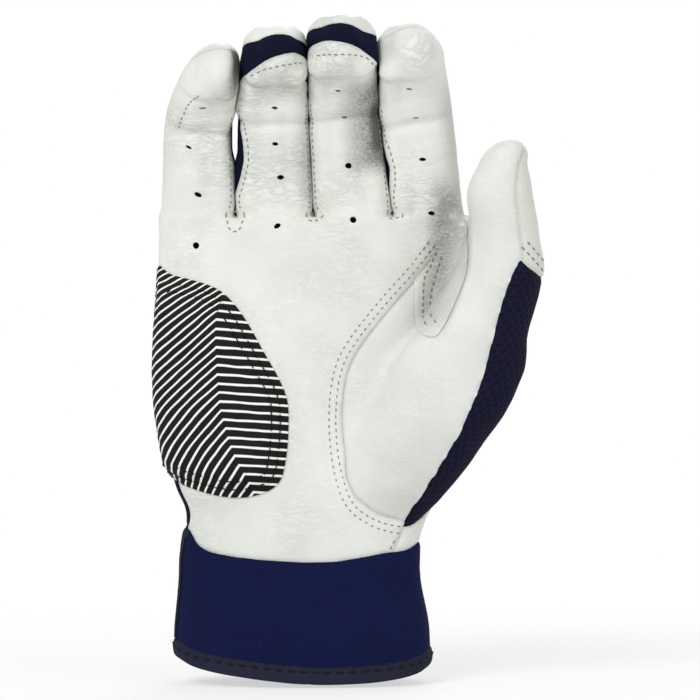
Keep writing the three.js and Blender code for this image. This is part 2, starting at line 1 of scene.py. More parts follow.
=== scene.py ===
# %% [markdown]
# # A batting glove, made in Blender
# The glove is a right-hand leather batting glove, seen from its palm side and filled out as on a hand.
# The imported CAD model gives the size, the panels and the moving bodies. This lesson makes the looks:
# one smooth skin over the CAD form, cut along the CAD model's own seams into leather and mesh panels.

# %% Load the frame
import math
from itertools import combinations

import bpy
import numpy as np
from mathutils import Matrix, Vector, noise
from mathutils.bvhtree import BVHTree
from mathutils.kdtree import KDTree


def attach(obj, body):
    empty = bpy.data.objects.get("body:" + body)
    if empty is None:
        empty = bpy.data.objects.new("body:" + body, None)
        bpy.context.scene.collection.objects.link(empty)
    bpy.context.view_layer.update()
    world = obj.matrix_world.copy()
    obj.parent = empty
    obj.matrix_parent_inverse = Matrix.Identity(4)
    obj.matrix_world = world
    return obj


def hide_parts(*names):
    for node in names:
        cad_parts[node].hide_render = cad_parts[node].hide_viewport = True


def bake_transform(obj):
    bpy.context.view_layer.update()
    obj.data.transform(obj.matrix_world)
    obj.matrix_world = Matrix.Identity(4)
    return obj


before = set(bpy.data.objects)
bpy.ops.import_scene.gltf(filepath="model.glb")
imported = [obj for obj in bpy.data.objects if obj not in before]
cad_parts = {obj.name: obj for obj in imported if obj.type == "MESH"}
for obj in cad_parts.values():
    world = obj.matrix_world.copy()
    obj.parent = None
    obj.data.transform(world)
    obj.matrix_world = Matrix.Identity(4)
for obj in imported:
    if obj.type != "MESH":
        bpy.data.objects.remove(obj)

for stray in ("Cube", "Light", "Camera"):
    if stray in bpy.data.objects:
        bpy.data.objects.remove(bpy.data.objects[stray])
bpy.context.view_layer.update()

# %% [markdown]
# ## Working sizes
# The form is described in millimetres, as a glove maker would, with the fingers still straight. The
# CAD model was then moved so that its footprint is centred, and the scene is in metres, so every
# finished point goes through `in_scene`.

# %% From the maker's millimetres to the scene
FOOTPRINT_SHIFT = np.array([1.128, 5.259, 0.0])
MM = 0.001


def in_scene(points):
    return (np.asarray(points, float) + FOOTPRINT_SHIFT) * MM


def smooth_through(knots, values, at):
    """A curve through the values that never overshoots them."""
    x = np.asarray(knots, float)
    y = np.asarray(values, float)
    gap = np.diff(x)
    rise = np.diff(y) / gap
    slope = np.zeros_like(y)
    slope[0] = rise[0]
    slope[-1] = rise[-1]
    before = 2 * gap[1:] + gap[:-1]
    after = gap[1:] + 2 * gap[:-1]
    turning = rise[1:] * rise[:-1] <= 0
    safe = np.where(rise == 0, 1, rise)
    mean = (before + after) / (before / safe[:-1] + after / safe[1:])
    slope[1:-1] = np.where(turning, 0, mean)
    at = np.clip(at, x[0], x[-1])
    i = np.clip(np.searchsorted(x, at, side="right") - 1, 0, len(gap) - 1)
    t = (at - x[i]) / gap[i]
    start = (2 * t**3 - 3 * t**2 + 1) * y[i] + (t**3 - 2 * t**2 + t) * gap[i] * slope[i]
    end = (3 * t**2 - 2 * t**3) * y[i + 1] + (t**3 - t**2) * gap[i] * slope[i + 1]
    return start + end


def ease(value, low, high):
    t = np.clip((value - low) / (high - low), 0, 1)
    return t * t * (3 - 2 * t)


def unit(vectors):
    """Each row scaled to a length of 1."""
    return vectors / np.maximum(np.linalg.norm(vectors, axis=-1, keepdims=True), 1e-9)


def summed_at(numbers, rows, count):
    """Adds up the rows that go to the same number, for the numbers below the count."""
    return np.stack([np.bincount(numbers, column, count) for column in rows.T], axis=1)


# %% The sizes of the hand, the fingers and the thumb
HAND_SQUARENESS = 2.3
FINGER_SQUARENESS = 2.15
TIP_SQUARENESS = 2.3
CROTCH_Z = 146.0
WRIST_Z = 40.0
BACK_LEAN = 4.8
# Height, then the middle, the width and the depth of each section
HAND = np.array([
    [0, -15, 80, 36], [16, -15, 79, 35], [36, -15.8, 74.5, 30], [52.7, -14.4, 74.5, 30],
    [61, -15.2, 79, 30], [73.9, -14.8, 87, 30], [89.8, -14.1, 93, 30], [108.9, -13.3, 95.5, 30],
    [128, -12.7, 95.5, 27.5], [146, -12.3, 95, 25],
])
# Height, then the middle across and front to back, the width and the depth
THUMB = np.array([
    [52, 8, 0, 32, 18], [60, 12, -5, 37, 22], [71, 18, -8, 42, 26], [85, 27.3, -11, 43, 29],
    [97, 33, -13, 42, 29], [110, 38, -15.5, 34.8, 28], [120, 42.8, -17, 30.8, 26],
    [130, 46.7, -19, 27, 24], [142, 47.4, -21, 21.4, 22], [153, 46, -23, 20.2, 20],
    [162, 47.1, -24, 15, 17],
])
THUMB_TOP = 169.4
THUMB_TIP_LEAN = 2.3
THUMB_WEB = np.array([
    [92, 32, -7, 24, 16], [112, 35, -8, 30, 14], [126, 37, -9, 32, 11], [136, 38, -10, 30, 8],
    [142, 38, -10, 28, 7], [147, 38, -10, 26, 6],
])
WEB_TURN = math.radians(-48)
FINGERS = [
    dict(name="little", base=-48.2, lean=0.3, length=58, widths=(22.6, 21.4, 16.6), depth=20,
         drift=7.9, bends=(26, 36)),
    dict(name="ring", base=-23.6, lean=-1.5, length=64, widths=(23.2, 22, 18.6), depth=21,
         drift=3, bends=(26, 36)),
    dict(name="middle", base=0.9, lean=-5, length=67, widths=(23.6, 21.6, 19.8), depth=21.5,
         drift=1.5, bends=(24, 36)),
    dict(name="index", base=25, lean=-7.5, length=64, widths=(21.4, 22.8, 20), depth=21,
         drift=1.5, bends=(22, 30)),
]
FINGER_ROOT = -14
TIP_SHARE = 0.56
KNUCKLE_V = 4.25
# The two joints along a finger, and how far to each side of a joint the bend reaches
JOINTS = (0.52, 0.8)
BEND_SPREAD = 8
for finger in FINGERS:
    finger["dome"] = TIP_SHARE * finger["widths"][2]
    finger["straight"] = finger["length"] - finger["dome"]
    finger["bend_start"] = JOINTS[0] * finger["length"] - BEND_SPREAD
print("fingers:", [finger["name"] for finger in FINGERS])


# %% Where a point is on a finger: s across it, v along it and n out of its palm side
def on_finger(finger, points):
    lean = math.radians(finger["lean"])
    across = points[..., 0] - finger["base"]
    up = points[..., 2] - CROTCH_Z
    s = across * math.cos(lean) - up * math.sin(lean)
    v = across * math.sin(lean) + up * math.cos(lean)
    return s, v, BACK_LEAN - points[..., 1]


def off_finger(finger, s, v, n):
    lean = math.radians(finger["lean"])
    x = finger["base"] + s * math.cos(lean) + v * math.sin(lean)
    z = CROTCH_Z - s * math.sin(lean) + v * math.cos(lean)
    return np.stack([x, BACK_LEAN - n, z], axis=-1)


def drift_at(finger, v):
    reach = finger["length"] - finger["bend_start"]
    return finger["drift"] * np.clip((v - finger["bend_start"]) / reach, 0, 1) ** 2


def finger_width(finger, v):
    return smooth_through([0, finger["length"] / 2, finger["straight"]], finger["widths"], v)


# %% [markdown]
# ## The form as a field
# A filled glove has no hard joins: fingers run into the palm and the thumb swells out of it. The form
# is therefore a field, negative inside and zero on the surface, and rounded sections are joined in it
# with soft unions. A grid samples the field, and the surface is laid through the grid's cells.

# %% Fields of rounded sections, and their soft joins
GRID_STEP = 1.0
GRID_LOW = np.array([-66.0, -38.0, -4.0])
GRID_HIGH = np.array([66.0, 26.0, 218.0])
# A field is nowhere taken as flatter than this
LEAST_SLOPE = 0.004
axes = [np.arange(low, high, GRID_STEP) for low, high in zip(GRID_LOW, GRID_HIGH)]
grid = np.stack(np.meshgrid(*axes, indexing="ij"), axis=-1)
heights = axes[2]


def as_distance(shape):
    """Scales a field so that it grows by 1 for each millimetre away from its surface."""
    slopes = np.gradient(shape, GRID_STEP)
    steepness = np.sqrt(sum(slope**2 for slope in slopes))
    return shape / np.maximum(steepness, LEAST_SLOPE)


def rounded(u, v, half_u, half_v, squareness):
    whole = np.abs(u / half_u) ** squareness + np.abs(v / half_v) ** squareness
    return (whole + 1e-9) ** (1 / squareness)


def join(a, b, softness):
    share = np.clip(0.5 + 0.5 * (b - a) / softness, 0, 1)
    return b * (1 - share) + a * share - softness * share * (1 - share)


def keep_both(a, b, softness):
    return -join(-a, -b, softness)


def section_at(table, at):
    """The columns after the heights in a table of sections, read at any height."""
    return [smooth_through(table[:, 0], column, at) for column in table.T[1:]]


def hand_field():
    x, width, depth = section_at(HAND, heights)
    lean = BACK_LEAN * np.clip((heights - WRIST_Z) / (CROTCH_Z - WRIST_Z), 0, None)
    ring = rounded(grid[..., 0] - x, grid[..., 1] - lean, width / 2, depth / 2, HAND_SQUARENESS)
    return keep_both(as_distance(ring - 1), grid[..., 2] - CROTCH_Z, 3)


def finger_field(finger):
    s, v, n = on_finger(finger, grid)
    half = finger_width(finger, v) / 2
    depth = finger["depth"] + 1.5 * (1 - np.clip(v / finger["straight"], 0, 1))
    ring = rounded(s - drift_at(finger, v), n, half, depth / 2, FINGER_SQUARENESS)
    past = np.clip((v - finger["straight"]) / finger["dome"], 0, None)
    shape = (ring**TIP_SQUARENESS + past**TIP_SQUARENESS) ** (1 / TIP_SQUARENESS)
    return keep_both(as_distance(shape - 1) + 1.6 * ease(-v, -1, 5), FINGER_ROOT - v, 4)


def thumb_field():
    x, y, width, depth = section_at(THUMB, heights)
    past = np.clip((heights - THUMB[-1, 0]) / (THUMB_TOP - THUMB[-1, 0]), 0, None)
    ring = rounded(grid[..., 0] - x - past * THUMB_TIP_LEAN, grid[..., 1] - y, width / 2, depth / 2, 2)
    return keep_both(as_distance(np.sqrt(ring**2 + past**2) - 1), THUMB[0, 0] - grid[..., 2], 5)


def web_field():
    x, y, width, depth = section_at(THUMB_WEB, heights)
    across, back = grid[..., 0] - x, grid[..., 1] - y
    u = across * math.cos(WEB_TURN) + back * math.sin(WEB_TURN)
    v = back * math.cos(WEB_TURN) - across * math.sin(WEB_TURN)
    shape = as_distance(rounded(u, v, width / 2, depth / 2, 2) - 1)
    ends = np.maximum(THUMB_WEB[0, 0] - grid[..., 2], grid[..., 2] - THUMB_WEB[-1, 0])
    return keep_both(shape, ends, 3)


# %% Join the parts of the form, with a clear gap between neighbouring fingers
FINGER_GAP = 0.9
GAP_FLOOR = CROTCH_Z + 1.5
FINGER_JOIN = 4
WEB_JOIN = 5
THUMB_JOIN = 6 - 3.2 * ease(heights, 100, 124)
hand = hand_field()
digits = [finger_field(finger) for finger in FINGERS] + [thumb_field()]
form = hand
for digit in digits[:4]:
    form = np.minimum(form, join(hand, digit, FINGER_JOIN))
form = join(form, join(digits[4], web_field(), WEB_JOIN), THUMB_JOIN)
for left, right in zip(digits[:-1], digits[1:]):
    between = np.minimum(FINGER_GAP - np.abs(left - right) / 2, 4 - np.maximum(left, right))
    form = np.maximum(form, np.minimum(between, grid[..., 2] - GAP_FLOOR))
form_slope = np.stack(np.gradient(form, GRID_STEP), axis=-1)
print("grid of", form.shape, "points")


def sample(values, points):
    """Reads a grid of values at any points, between the grid's own points."""
    place = (points - GRID_LOW) / GRID_STEP
    low = np.clip(np.floor(place).astype(int), 0, np.array(form.shape) - 2)
    t = np.clip(place - low, 0, 1)
    result = 0
    for step in np.ndindex(2, 2, 2):
        weight = np.abs(1 - np.array(step) - t).prod(axis=1)
        corner = values[tuple((low + step).T)]
        result = result + (weight[:, None] if corner.ndim == 2 else weight) * corner
    return result


def onto_form(points):
    for _ in range(3):
        slope = sample(form_slope, points)
        size = np.maximum((slope**2).sum(1), 0.05)
        points = points - slope * (sample(form, points) / size)[:, None]
    return points


# %% [markdown]
# ## A skin through the grid
# Each grid cell that the surface crosses gets one point, at the middle of the crossings on its edges,
# and neighbouring cells are tied into faces. That gives small, even faces everywhere, which can later
# be cut along any seam. A few rounds of evening out, each put back on the form, make it smooth.

# %% Lay the surface through the cells of the grid
def surface_of(values):
    inside = values < 0
    size = np.array(values.shape) - 1
    count = np.zeros(size, int)
    offsets = list(np.ndindex(2, 2, 2))
    for i, j, k in offsets:
        count += inside[i:size[0] + i, j:size[1] + j, k:size[2] + k]
    cells = np.argwhere((count > 0) & (count < 8))
    number = np.full(size, -1)
    number[tuple(cells.T)] = np.arange(len(cells))
    corners = [values[tuple((cells + offset).T)] for offset in offsets]
    total = np.zeros((len(cells), 3))
    crossings = np.zeros(len(cells))
    for a, b in combinations(range(8), 2):
        step = np.subtract(offsets[b], offsets[a])
        if np.abs(step).sum() == 1:
            crossed = (corners[a] < 0) != (corners[b] < 0)
            span = np.where(crossed, corners[a] - corners[b], 1)
            place = np.array(offsets[a]) + (corners[a] / span)[:, None] * step
            total += np.where(crossed[:, None], place, 0)
            crossings += crossed
    points = GRID_LOW + GRID_STEP * (cells + total / crossings[:, None])
    faces = []
    steps = np.eye(3, dtype=int)
    for axis in range(3):
        head = tuple(slice(1 if k == axis else 0, None) for k in range(3))
        tail = tuple(slice(-1 if k == axis else None) for k in range(3))
        edges = np.argwhere(inside[head] != inside[tail])
        side_a, side_b = steps[axis - 2], steps[axis - 1]
        edges = edges[np.all((edges - side_a - side_b >= 0) & (edges < size), axis=1)]
        around = (edges - side_a - side_b, edges - side_b, edges, edges - side_a)
        ring = np.stack([number[tuple(cell.T)] for cell in around], axis=1)
        outward = inside[tuple(edges.T)]
        ring[~outward] = ring[~outward][:, ::-1]
        faces += [ring[:, [0, 1, 2]], ring[:, [0, 2, 3]]]
    return points, np.concatenate(faces)


def sides_of(faces):
    return np.concatenate([faces[:, [0, 1]], faces[:, [1, 2]], faces[:, [2, 0]]])


def edges_of(faces):
    return np.unique(np.sort(sides_of(faces), axis=1), axis=0)


def neighbours_of(values, edges):
    """For each point, the sum of the values of the points that its edges lead to."""
    first, second = edges.T
    return summed_at(first, values[second], len(values)) + summed_at(second, values[first], len(values))


def evened(points, edges, share=0.5):
    """Moves each point a share of the way to the middle of its neighbours."""
    count = np.bincount(edges.ravel(), minlength=len(points))
    middle = neighbours_of(points, edges) / np.maximum(count, 1)[:, None]
    return np.where(count[:, None] > 0, points + share * (middle - points), points)


flat, faces = surface_of(form)
for _ in range(3):
    flat = onto_form(evened(flat, edges_of(faces)))
print(len(flat), "points and", len(faces), "triangles in the straight glove's skin")


# %% [markdown]
# ## Bending the fingers
# At rest the hand is a little closed, so each finger turns forward at its base and at two joints. The
# centre line of a finger is a chain of short steps that turn, and every point keeps its distance from
# that line. The skin stays one mesh, so the bend never opens a seam.

# %% Curl the straight fingers forward
BASE_BEND = 7
LINE_STEP = 0.25


def bend_angle(finger, v):
    turned = BASE_BEND * ease(v, 4, 20)
    for share, bend in zip(JOINTS, finger["bends"]):
        joint = share * finger["length"]
        turned = turned + bend * ease(v, joint - BEND_SPREAD, joint + BEND_SPREAD)
    return np.radians(turned)


for finger in FINGERS:
    places = np.arange(0, finger["length"] + 10, LINE_STEP)
    angles = bend_angle(finger, places + LINE_STEP / 2)
    finger["line_v"] = np.append(places, places[-1] + LINE_STEP)
    finger["line_up"] = np.append(0, np.cumsum(LINE_STEP * np.cos(angles)))
    finger["line_out"] = np.append(0, np.cumsum(LINE_STEP * np.sin(angles)))


def digit_of(points):
    """0 to 3 for the four fingers and 4 for the thumb, by which of them a point is nearest to."""
    gaps = []
    for finger in FINGERS:
        s, v, _ = on_finger(finger, points)
        gaps.append(np.abs(s - drift_at(finger, v)) - finger_width(finger, v) / 2)
    x, y, width, _ = section_at(THUMB, points[:, 2])
    thumb = np.hypot(points[:, 0] - x, points[:, 1] - y) - width / 2
    index_side = np.hypot(np.maximum(gaps[3], 0), np.maximum(np.abs(points[:, 1] - BACK_LEAN) - 9, 0))
    gaps[3] = np.where(thumb < index_side, np.inf, gaps[3])
    choice = np.argmin(np.stack(gaps + [thumb]), axis=0)
    return np.where((choice == 4) & (thumb > index_side), 3, choice)


def curled(points):
    result = points.copy()
    digit = digit_of(points)
    for number, finger in enumerate(FINGERS):
        s, v, n = on_finger(finger, points)
        moved = (digit == number) & (v > 0)
        s, v, n = s[moved], v[moved], n[moved]
        angle = bend_angle(finger, v)
        up = np.interp(v, finger["line_v"], finger["line_up"]) - n * np.sin(angle)
        out = np.interp(v, finger["line_v"], finger["line_out"]) + n * np.cos(angle)
        result[moved] = off_finger(finger, s, up, out)
    return result


# %% [markdown]
# ## Cutting along the seams
# The CAD model already says which panel covers each place. Every point of the skin asks for the
# nearest CAD panel, and where the two ends of an edge get different answers, the seam crosses that
# edge. The crossing is found by halving, and the triangles are split there.

# %% Ask the CAD model which panel a point belongs to
FINGER_NAMES = [finger["name"] for finger in FINGERS]
SKIN_NODES = [
    "palm_leather", "thenar_leather", "thumb_back_mesh", "back_of_hand_mesh", "knuckle_flex_panel",
    "gusset_web_little_ring", "gusset_web_ring_middle", "gusset_web_middle_index", "wrist_cuff",
    "cuff_back_panel", "thumb_front_leather", "thumb_tip_cap",
]
for name in FINGER_NAMES:
    SKIN_NODES += [f"{name}_front_leather", f"{name}_gusset_strip", f"{name}_back_leather"]
NODE = {name: number for number, name in enumerate(SKIN_NODES)}

tree_points = []
tree_faces = []
face_node = []
for name in SKIN_NODES:
    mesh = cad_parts[name].data
    start = len(tree_points)
    tree_points += [v.co[:] for v in mesh.vertices]
    tree_faces += [[start + i for i in polygon.vertices] for polygon in mesh.polygons]
    face_node += [NODE[name]] * len(mesh.polygons)
panel_tree = BVHTree.FromPolygons(tree_points, tree_faces)


# Slope and shift of the seam over a fingertip, on its palm side and then on its back
TIP_SLANT = {"ring": (0.3, 0.6, 0.0, -1.8), "middle": (-0.34, 1.6, -0.22, -1.4)}
# How far the strip between two fingers turns to the front on the finger's left side, and where
STRIP_TURN = {"ring": (4.2, 21, 15), "index": (2.4, 18, 10)}
# How far the back's mesh turns to the front on the little finger's side, between which heights and
# left of which line
EDGE_TURN = 4.5
EDGE_HEIGHTS = (46, 51, 78, 86)
EDGE_X = -45


def asked_at(points):
    """Moves the question, so that the answer is a seam that runs as sewn, at a slant or set back."""
    result = points.copy()
    digit = digit_of(points)
    for number, finger in enumerate(FINGERS):
        s, v, n = on_finger(finger, points)
        moved = n.copy()
        if finger["name"] in TIP_SLANT:
            front, front_shift, back, back_shift = TIP_SLANT[finger["name"]]
            across = s - drift_at(finger, v)
            shift = np.where(n > 0, front * across + front_shift, back * across + back_shift)
            moved += shift * ease(v, finger["straight"] - 6, finger["straight"] + 3)
        if finger["name"] in STRIP_TURN:
            amount, middle, reach = STRIP_TURN[finger["name"]]
            moved -= (s < 0) * amount * np.clip(1 - ((v - middle) / reach) ** 2, 0, 1)
        chosen = (digit == number) & (v > 2)
        result[chosen] = off_finger(finger, s, v, moved)[chosen]
    x, _, z = points.T
    start, full, last, end = EDGE_HEIGHTS
    result[:, 1] += EDGE_TURN * (ease(z, end, last) * ease(z, start, full) * (x < EDGE_X))
    return result


def panel_at(points):
    places = in_scene(curled(asked_at(points)))
    return np.array([face_node[panel_tree.find_nearest(Vector(p))[2]] for p in places])


# %% Cut a mesh wherever a label changes
# How near to an end, as a share of the edge, a crossing moves that end instead of splitting the edge
NEAR_END = 0.28


def crossings_of(points, pairs, label_of, labels):
    low = points[pairs[:, 0]]
    high = points[pairs[:, 1]]
    first = labels[pairs[:, 0]]
    for _ in range(6):
        middle = (low + high) / 2
        same = (label_of(middle) == first)[:, None]
        low = np.where(same, middle, low)
        high = np.where(same, high, middle)
    return (low + high) / 2


def split_faces(faces, pairs, first_new):
    """Splits the triangles that have one of the pairs as a side. Each pair has a new point on it."""
    new_of = {tuple(pair): first_new + i for i, pair in enumerate(pairs.tolist())}
    touched = np.isin(faces, pairs).sum(axis=1) >= 2
    cut = []
    for a, b, c in faces[touched].tolist():
        ab, bc, ca = (new_of.get((min(p, q), max(p, q))) for p, q in ((a, b), (b, c), (c, a)))
        count = sum(new is not None for new in (ab, bc, ca))
        if count == 0:
            cut.append([a, b, c])
        elif count == 3:
            cut += [[a, ab, ca], [b, bc, ab], [c, ca, bc], [ab, bc, ca]]
        else:
            while ab is None or ca is not None:
                a, b, c, ab, bc, ca = b, c, a, bc, ca, ab
            cut += [[ab, b, c]] if bc is None else [[ab, b, bc], [ab, bc, c]]
            cut.append([ab, c, a])
    return np.concatenate([faces[~touched], np.array(cut, int).reshape(-1, 3)])


def cut_along(points, faces, label_of, pinned):
    """Splits triangles where label_of changes. Pinned points stay, and the new ones are pinned."""
    labels = label_of(points)
    edges = edges_of(faces)
    crossed = edges[labels[edges[:, 0]] != labels[edges[:, 1]]]
    places = crossings_of(points, crossed, label_of, labels)
    lengths = np.linalg.norm(points[crossed[:, 0]] - points[crossed[:, 1]], axis=1)
    on_line = np.zeros(len(points), bool)
    for end in crossed.T:
        reach = np.linalg.norm(points[end] - places, axis=1) / np.maximum(lengths, 1e-9)
        for i in np.flatnonzero((reach < NEAR_END) & ~pinned[end]):
            if not on_line[end[i]]:
                on_line[end[i]] = True
                points[end[i]] = places[i]
    split = ~on_line[crossed].any(axis=1)
    faces = split_faces(faces, crossed[split], len(points))
    pinned = np.concatenate([pinned | on_line, np.ones(split.sum(), bool)])
    return np.concatenate([points, places[split]]), faces, pinned


pinned = np.zeros(len(flat), bool)
flat, faces, pinned = cut_along(flat, faces, panel_at, pinned)
print(len(faces), "triangles after cutting along the seams")

# %% [markdown]
# ## Outlines of what lies on the skin
# The heel pad, the thumb tongue, the hem's tape and the closure lie on the skin. Each has an outline
# seen from the front or the back, and the same cutting gives each a clean edge. Small round holes in
# the finger leather are cut in the same way, after the mesh there has been made finer.

# %% Test points against drawn outlines
def inside_outline(outline, points, deepest):
    """1 where a point lies inside an outline and further to the palm side than the deepest y."""
    x, y, z = points.T
    inside = np.zeros(len(x), bool)
    for (x0, z0), (x1, z1) in zip(outline, np.roll(outline, -1, axis=0)):
        spans = (z0 > z) != (z1 > z)
        cross = x0 + (z - z0) * (x1 - x0) / (z1 - z0 if z1 != z0 else 1)
        inside ^= spans & (x < cross)
    return (inside & (y < deepest)).astype(int)


def rounded_outline(corners, closed=True, steps=8):
    """A smooth line through the corners."""
    corners = np.asarray(corners, float)
    count = len(corners)
    t = (np.arange(steps) / steps)[:, None]
    line = []
    for i in range(count if closed else count - 1):
        near = np.arange(i - 1, i + 3)
        p0, p1, p2, p3 = corners[near % count if closed else np.clip(near, 0, count - 1)]
        line.append(0.5 * (2 * p1 + (p2 - p0) * t + (2 * p0 - 5 * p1 + 4 * p2 - p3) * t**2
                           + (3 * p1 - p0 - 3 * p2 + p3) * t**3))
    return np.concatenate(line if closed else line + [corners[-1:]])


PATCH_CORNERS = [
    [-66, 130.5], [-55.7, 127.8], [-41.7, 123.5], [-34, 116], [-27, 104], [-20.5, 92], [-19.1, 84],
    [-19.8, 71], [-22.5, 62.5], [-30.8, 58.8], [-40, 58.8], [-50, 61.5], [-55, 64], [-66, 71],
]
TONGUE_CORNERS = [
    [21.0, 132], [20.2, 121], [20.2, 113.6], [22.7, 108.9], [26.4, 108.6], [29.1, 112.4], [31.9, 119.4],
    [34.8, 128], [36.0, 138], [35.7, 147], [30, 146],
]
PATCH = rounded_outline(PATCH_CORNERS)
TONGUE = rounded_outline(TONGUE_CORNERS)
PATCH_SIDE_Y = 2
TONGUE_SIDE_Y = -2
HEM = np.array([
    [-56, 9.5], [-52, 7.4], [-49, 6.0], [-42, 4.3], [-33.4, 3.0], [-24.7, 1.9], [-16, 1.1], [-7.3, 0.8],
    [4.2, 1.1], [12.9, 1.9], [20.4, 3.4], [24.4, 5.6], [27, 8.5],
])
# Heights over the hem's edge: the edge itself, the turned edge of the tape, and the top of the tape
HEM_STEPS = (0, 0.8, 5.6)


def hem_height(x):
    return smooth_through(HEM[:, 0], HEM[:, 1], x)


def on_patch(points):
    return inside_outline(PATCH, points, PATCH_SIDE_Y)


def on_tongue(points):
    return inside_outline(TONGUE, points, TONGUE_SIDE_Y)


def hem_zone(points):
    """0 below the hem's edge, 1 and 2 on its tape, 3 above the tape."""
    return np.searchsorted(HEM_STEPS, points[:, 2] - hem_height(points[:, 0]))


# The side slit from front to back, with its tape in front of it, and the slit in the cuff's back
SLIT_FRONT = 1.5
SLIT_BACK = 2.5
SLIT_TAPE = 6
SLIT_TAPE_EDGE = 0.8
SLIT_TOP = 60
SIDE_X = -40
BACK_SLIT = (5.5, 6.5)
# Behind this line a point is on the cuff's back
BACK_Y = 5


def slit_zone(points):
    """1 and 2 under the side slit's tape, 3 in the side slit, 4 in the slit at the back, or 0."""
    x, y, z = points.T
    low = z < SLIT_TOP
    side = (x < SIDE_X) & low & (y > SLIT_FRONT - SLIT_TAPE) & (y < SLIT_BACK)
    steps = 1 + (y > SLIT_FRONT - SLIT_TAPE_EDGE).astype(int) + (y > SLIT_FRONT)
    middle = low & (y > BACK_Y) & (x > BACK_SLIT[0]) & (x < BACK_SLIT[1])
    return np.where(middle, 4, np.where(side, steps, 0))


STRAP_LOW = 9.8
STRAP_TOP = 34.0
CLOSURE_X = [-44, -33.3, -33, -10, -9, 12, 12.3, 19]


def closure_zone(points):
    """1 and up for the stretches that CLOSURE_X parts the strap's band into, and 0 outside it."""
    x, y, z = points.T
    band = (y > BACK_Y) & (z > STRAP_LOW) & (z < STRAP_TOP)
    return np.where(band, 1 + np.searchsorted(CLOSURE_X, x), 0)


# Below this line the mesh of the thumb ends and leather runs on round the wrist
MESH_END = np.array([
    [13, 49.8], [16.5, 49.2], [18, 48.8], [20.4, 49.6], [23.7, 51.7], [27.9, 54.6], [32, 57],
])
MESH_START_X = 8


def wrist_zone(points):
    x, y, z = points.T
    line = np.interp(x, MESH_END[:, 0], MESH_END[:, 1])
    line = line + (MESH_END[-1, 1] - line) * ease(y, -3, 3)
    return ((z < line) & (x > MESH_START_X)).astype(int)


for label_of in (on_patch, on_tongue, hem_zone, slit_zone, closure_zone, wrist_zone):
    flat, faces, pinned = cut_along(flat, faces, label_of, pinned)
print(len(faces), "triangles after cutting the outlines")


# %% Air holes in the finger fronts: the half-sizes and the turn of each
# Distance along the finger, sideways place, half-length, half-height, turn in degrees
AIR_HOLES = {
    "little": [(-9, 0, 1.1, 1.1, 0), (7, 0.6, 1.35, 0.75, -25), (23, -2.4, 1.2, 0.5, -30),
               (41, 0, 1.35, 0.55, 5)],
    "ring": [(-3, 0.8, 1.2, 0.75, 30), (13, 2.2, 1.2, 0.85, 5), (24, 0.8, 1.1, 0.6, -8),
             (40.5, 0.6, 1.1, 0.6, -10)],
    "middle": [(-1, 0, 1.1, 1.1, 0), (17.2, 0, 1.15, 1.0, -10), (34.5, 0, 1.1, 0.6, -15),
               (46, -1.6, 1.0, 0.5, -10)],
    "index": [(1, 0.6, 1.25, 0.7, -12), (19.3, 0, 1.2, 0.65, -8), (35.5, -0.6, 1.2, 0.6, -12),
              (47.5, -2, 1.1, 0.6, -18)],
}


def hole_zone(points, grow=0.0):
    zone = np.zeros(len(points), int)
    for finger in FINGERS:
        s, v, n = on_finger(finger, points)
        s = s - drift_at(finger, v)
        for v0, s0, half_s, half_v, turn in AIR_HOLES[finger["name"]]:
            angle = math.radians(turn)
            u = (s - s0) * math.cos(angle) + (v - v0) * math.sin(angle)
            w = (v - v0) * math.cos(angle) - (s - s0) * math.sin(angle)
            hit = (u / (half_s + grow)) ** 2 + (w / (half_v + grow)) ** 2 < 1
            zone[hit & (n > 2)] = 1
    return zone


def refined(points, faces, pinned, chosen):
    """Splits every side of the chosen triangles in the middle, and their neighbours to match."""
    pairs = edges_of(faces[chosen])
    middles = onto_form(points[pairs].mean(axis=1))
    faces = split_faces(faces, pairs, len(points))
    return np.concatenate([points, middles]), faces, np.append(pinned, np.zeros(len(pairs), bool))


for grow in (2.2, 1.4):
    chosen = hole_zone(flat[faces].mean(axis=1), grow) > 0
    flat, faces, pinned = refined(flat, faces, pinned, chosen)
flat, faces, pinned = cut_along(flat, faces, hole_zone, pinned)
low = flat[faces].mean(axis=1)
flat, faces, pinned = refined(flat, faces, pinned, low[:, 2] < hem_height(low[:, 0]) + 3.0)

# %% Label every triangle, and drop the holes, the slits and what is below the hem
middles = flat[faces].mean(axis=1)
panel = panel_at(middles)
hem = hem_zone(middles)
slit = slit_zone(middles)
closure = closure_zone(middles)
patch_face = on_patch(middles) > 0
tongue_face = on_tongue(middles) > 0
cuff_face = (panel == NODE["wrist_cuff"]) | (panel == NODE["cuff_back_panel"])
tongue_face &= panel == NODE["thenar_leather"]
wrist_face = (wrist_zone(middles) > 0) & (panel == NODE["thumb_back_mesh"])
hole_face = hole_zone(middles) > 0
kept = (hem > 0) & ~hole_face & ~((slit >= 3) & cuff_face)
print("triangles in each panel:", {name: int((panel == n).sum()) for name, n in NODE.items()})


# %% [markdown]
# ## Seams, creases and folds
# Sewn leather is never smooth: it sinks where it is stitched, swells a little between its seams and
# folds across the joints. Each of these is a small move of the skin along its own direction, worked
# out from the distance to the nearest seam or from the place along the finger.

# %% Even out the cut lines, and find the sewn ones
def shared_edges():
    """Every edge that two triangles share, with the numbers of both triangles."""
    pairs = np.sort(sides_of(faces), axis=1)
    owner = np.tile(np.arange(len(faces)), 3)
    order = np.lexsort((pairs[:, 1], pairs[:, 0]))
    pairs, owner = pairs[order], owner[order]
    same = (pairs[1:] == pairs[:-1]).all(axis=1)
    return pairs[:-1][same], owner[:-1][same], owner[1:][same]


def borders(labels):
    """Edges whose two triangles have different labels, with both labels."""
    pairs, first, second = shared_edges()
    differ = labels[first] != labels[second]
    return pairs[differ], labels[first][differ], labels[second][differ]


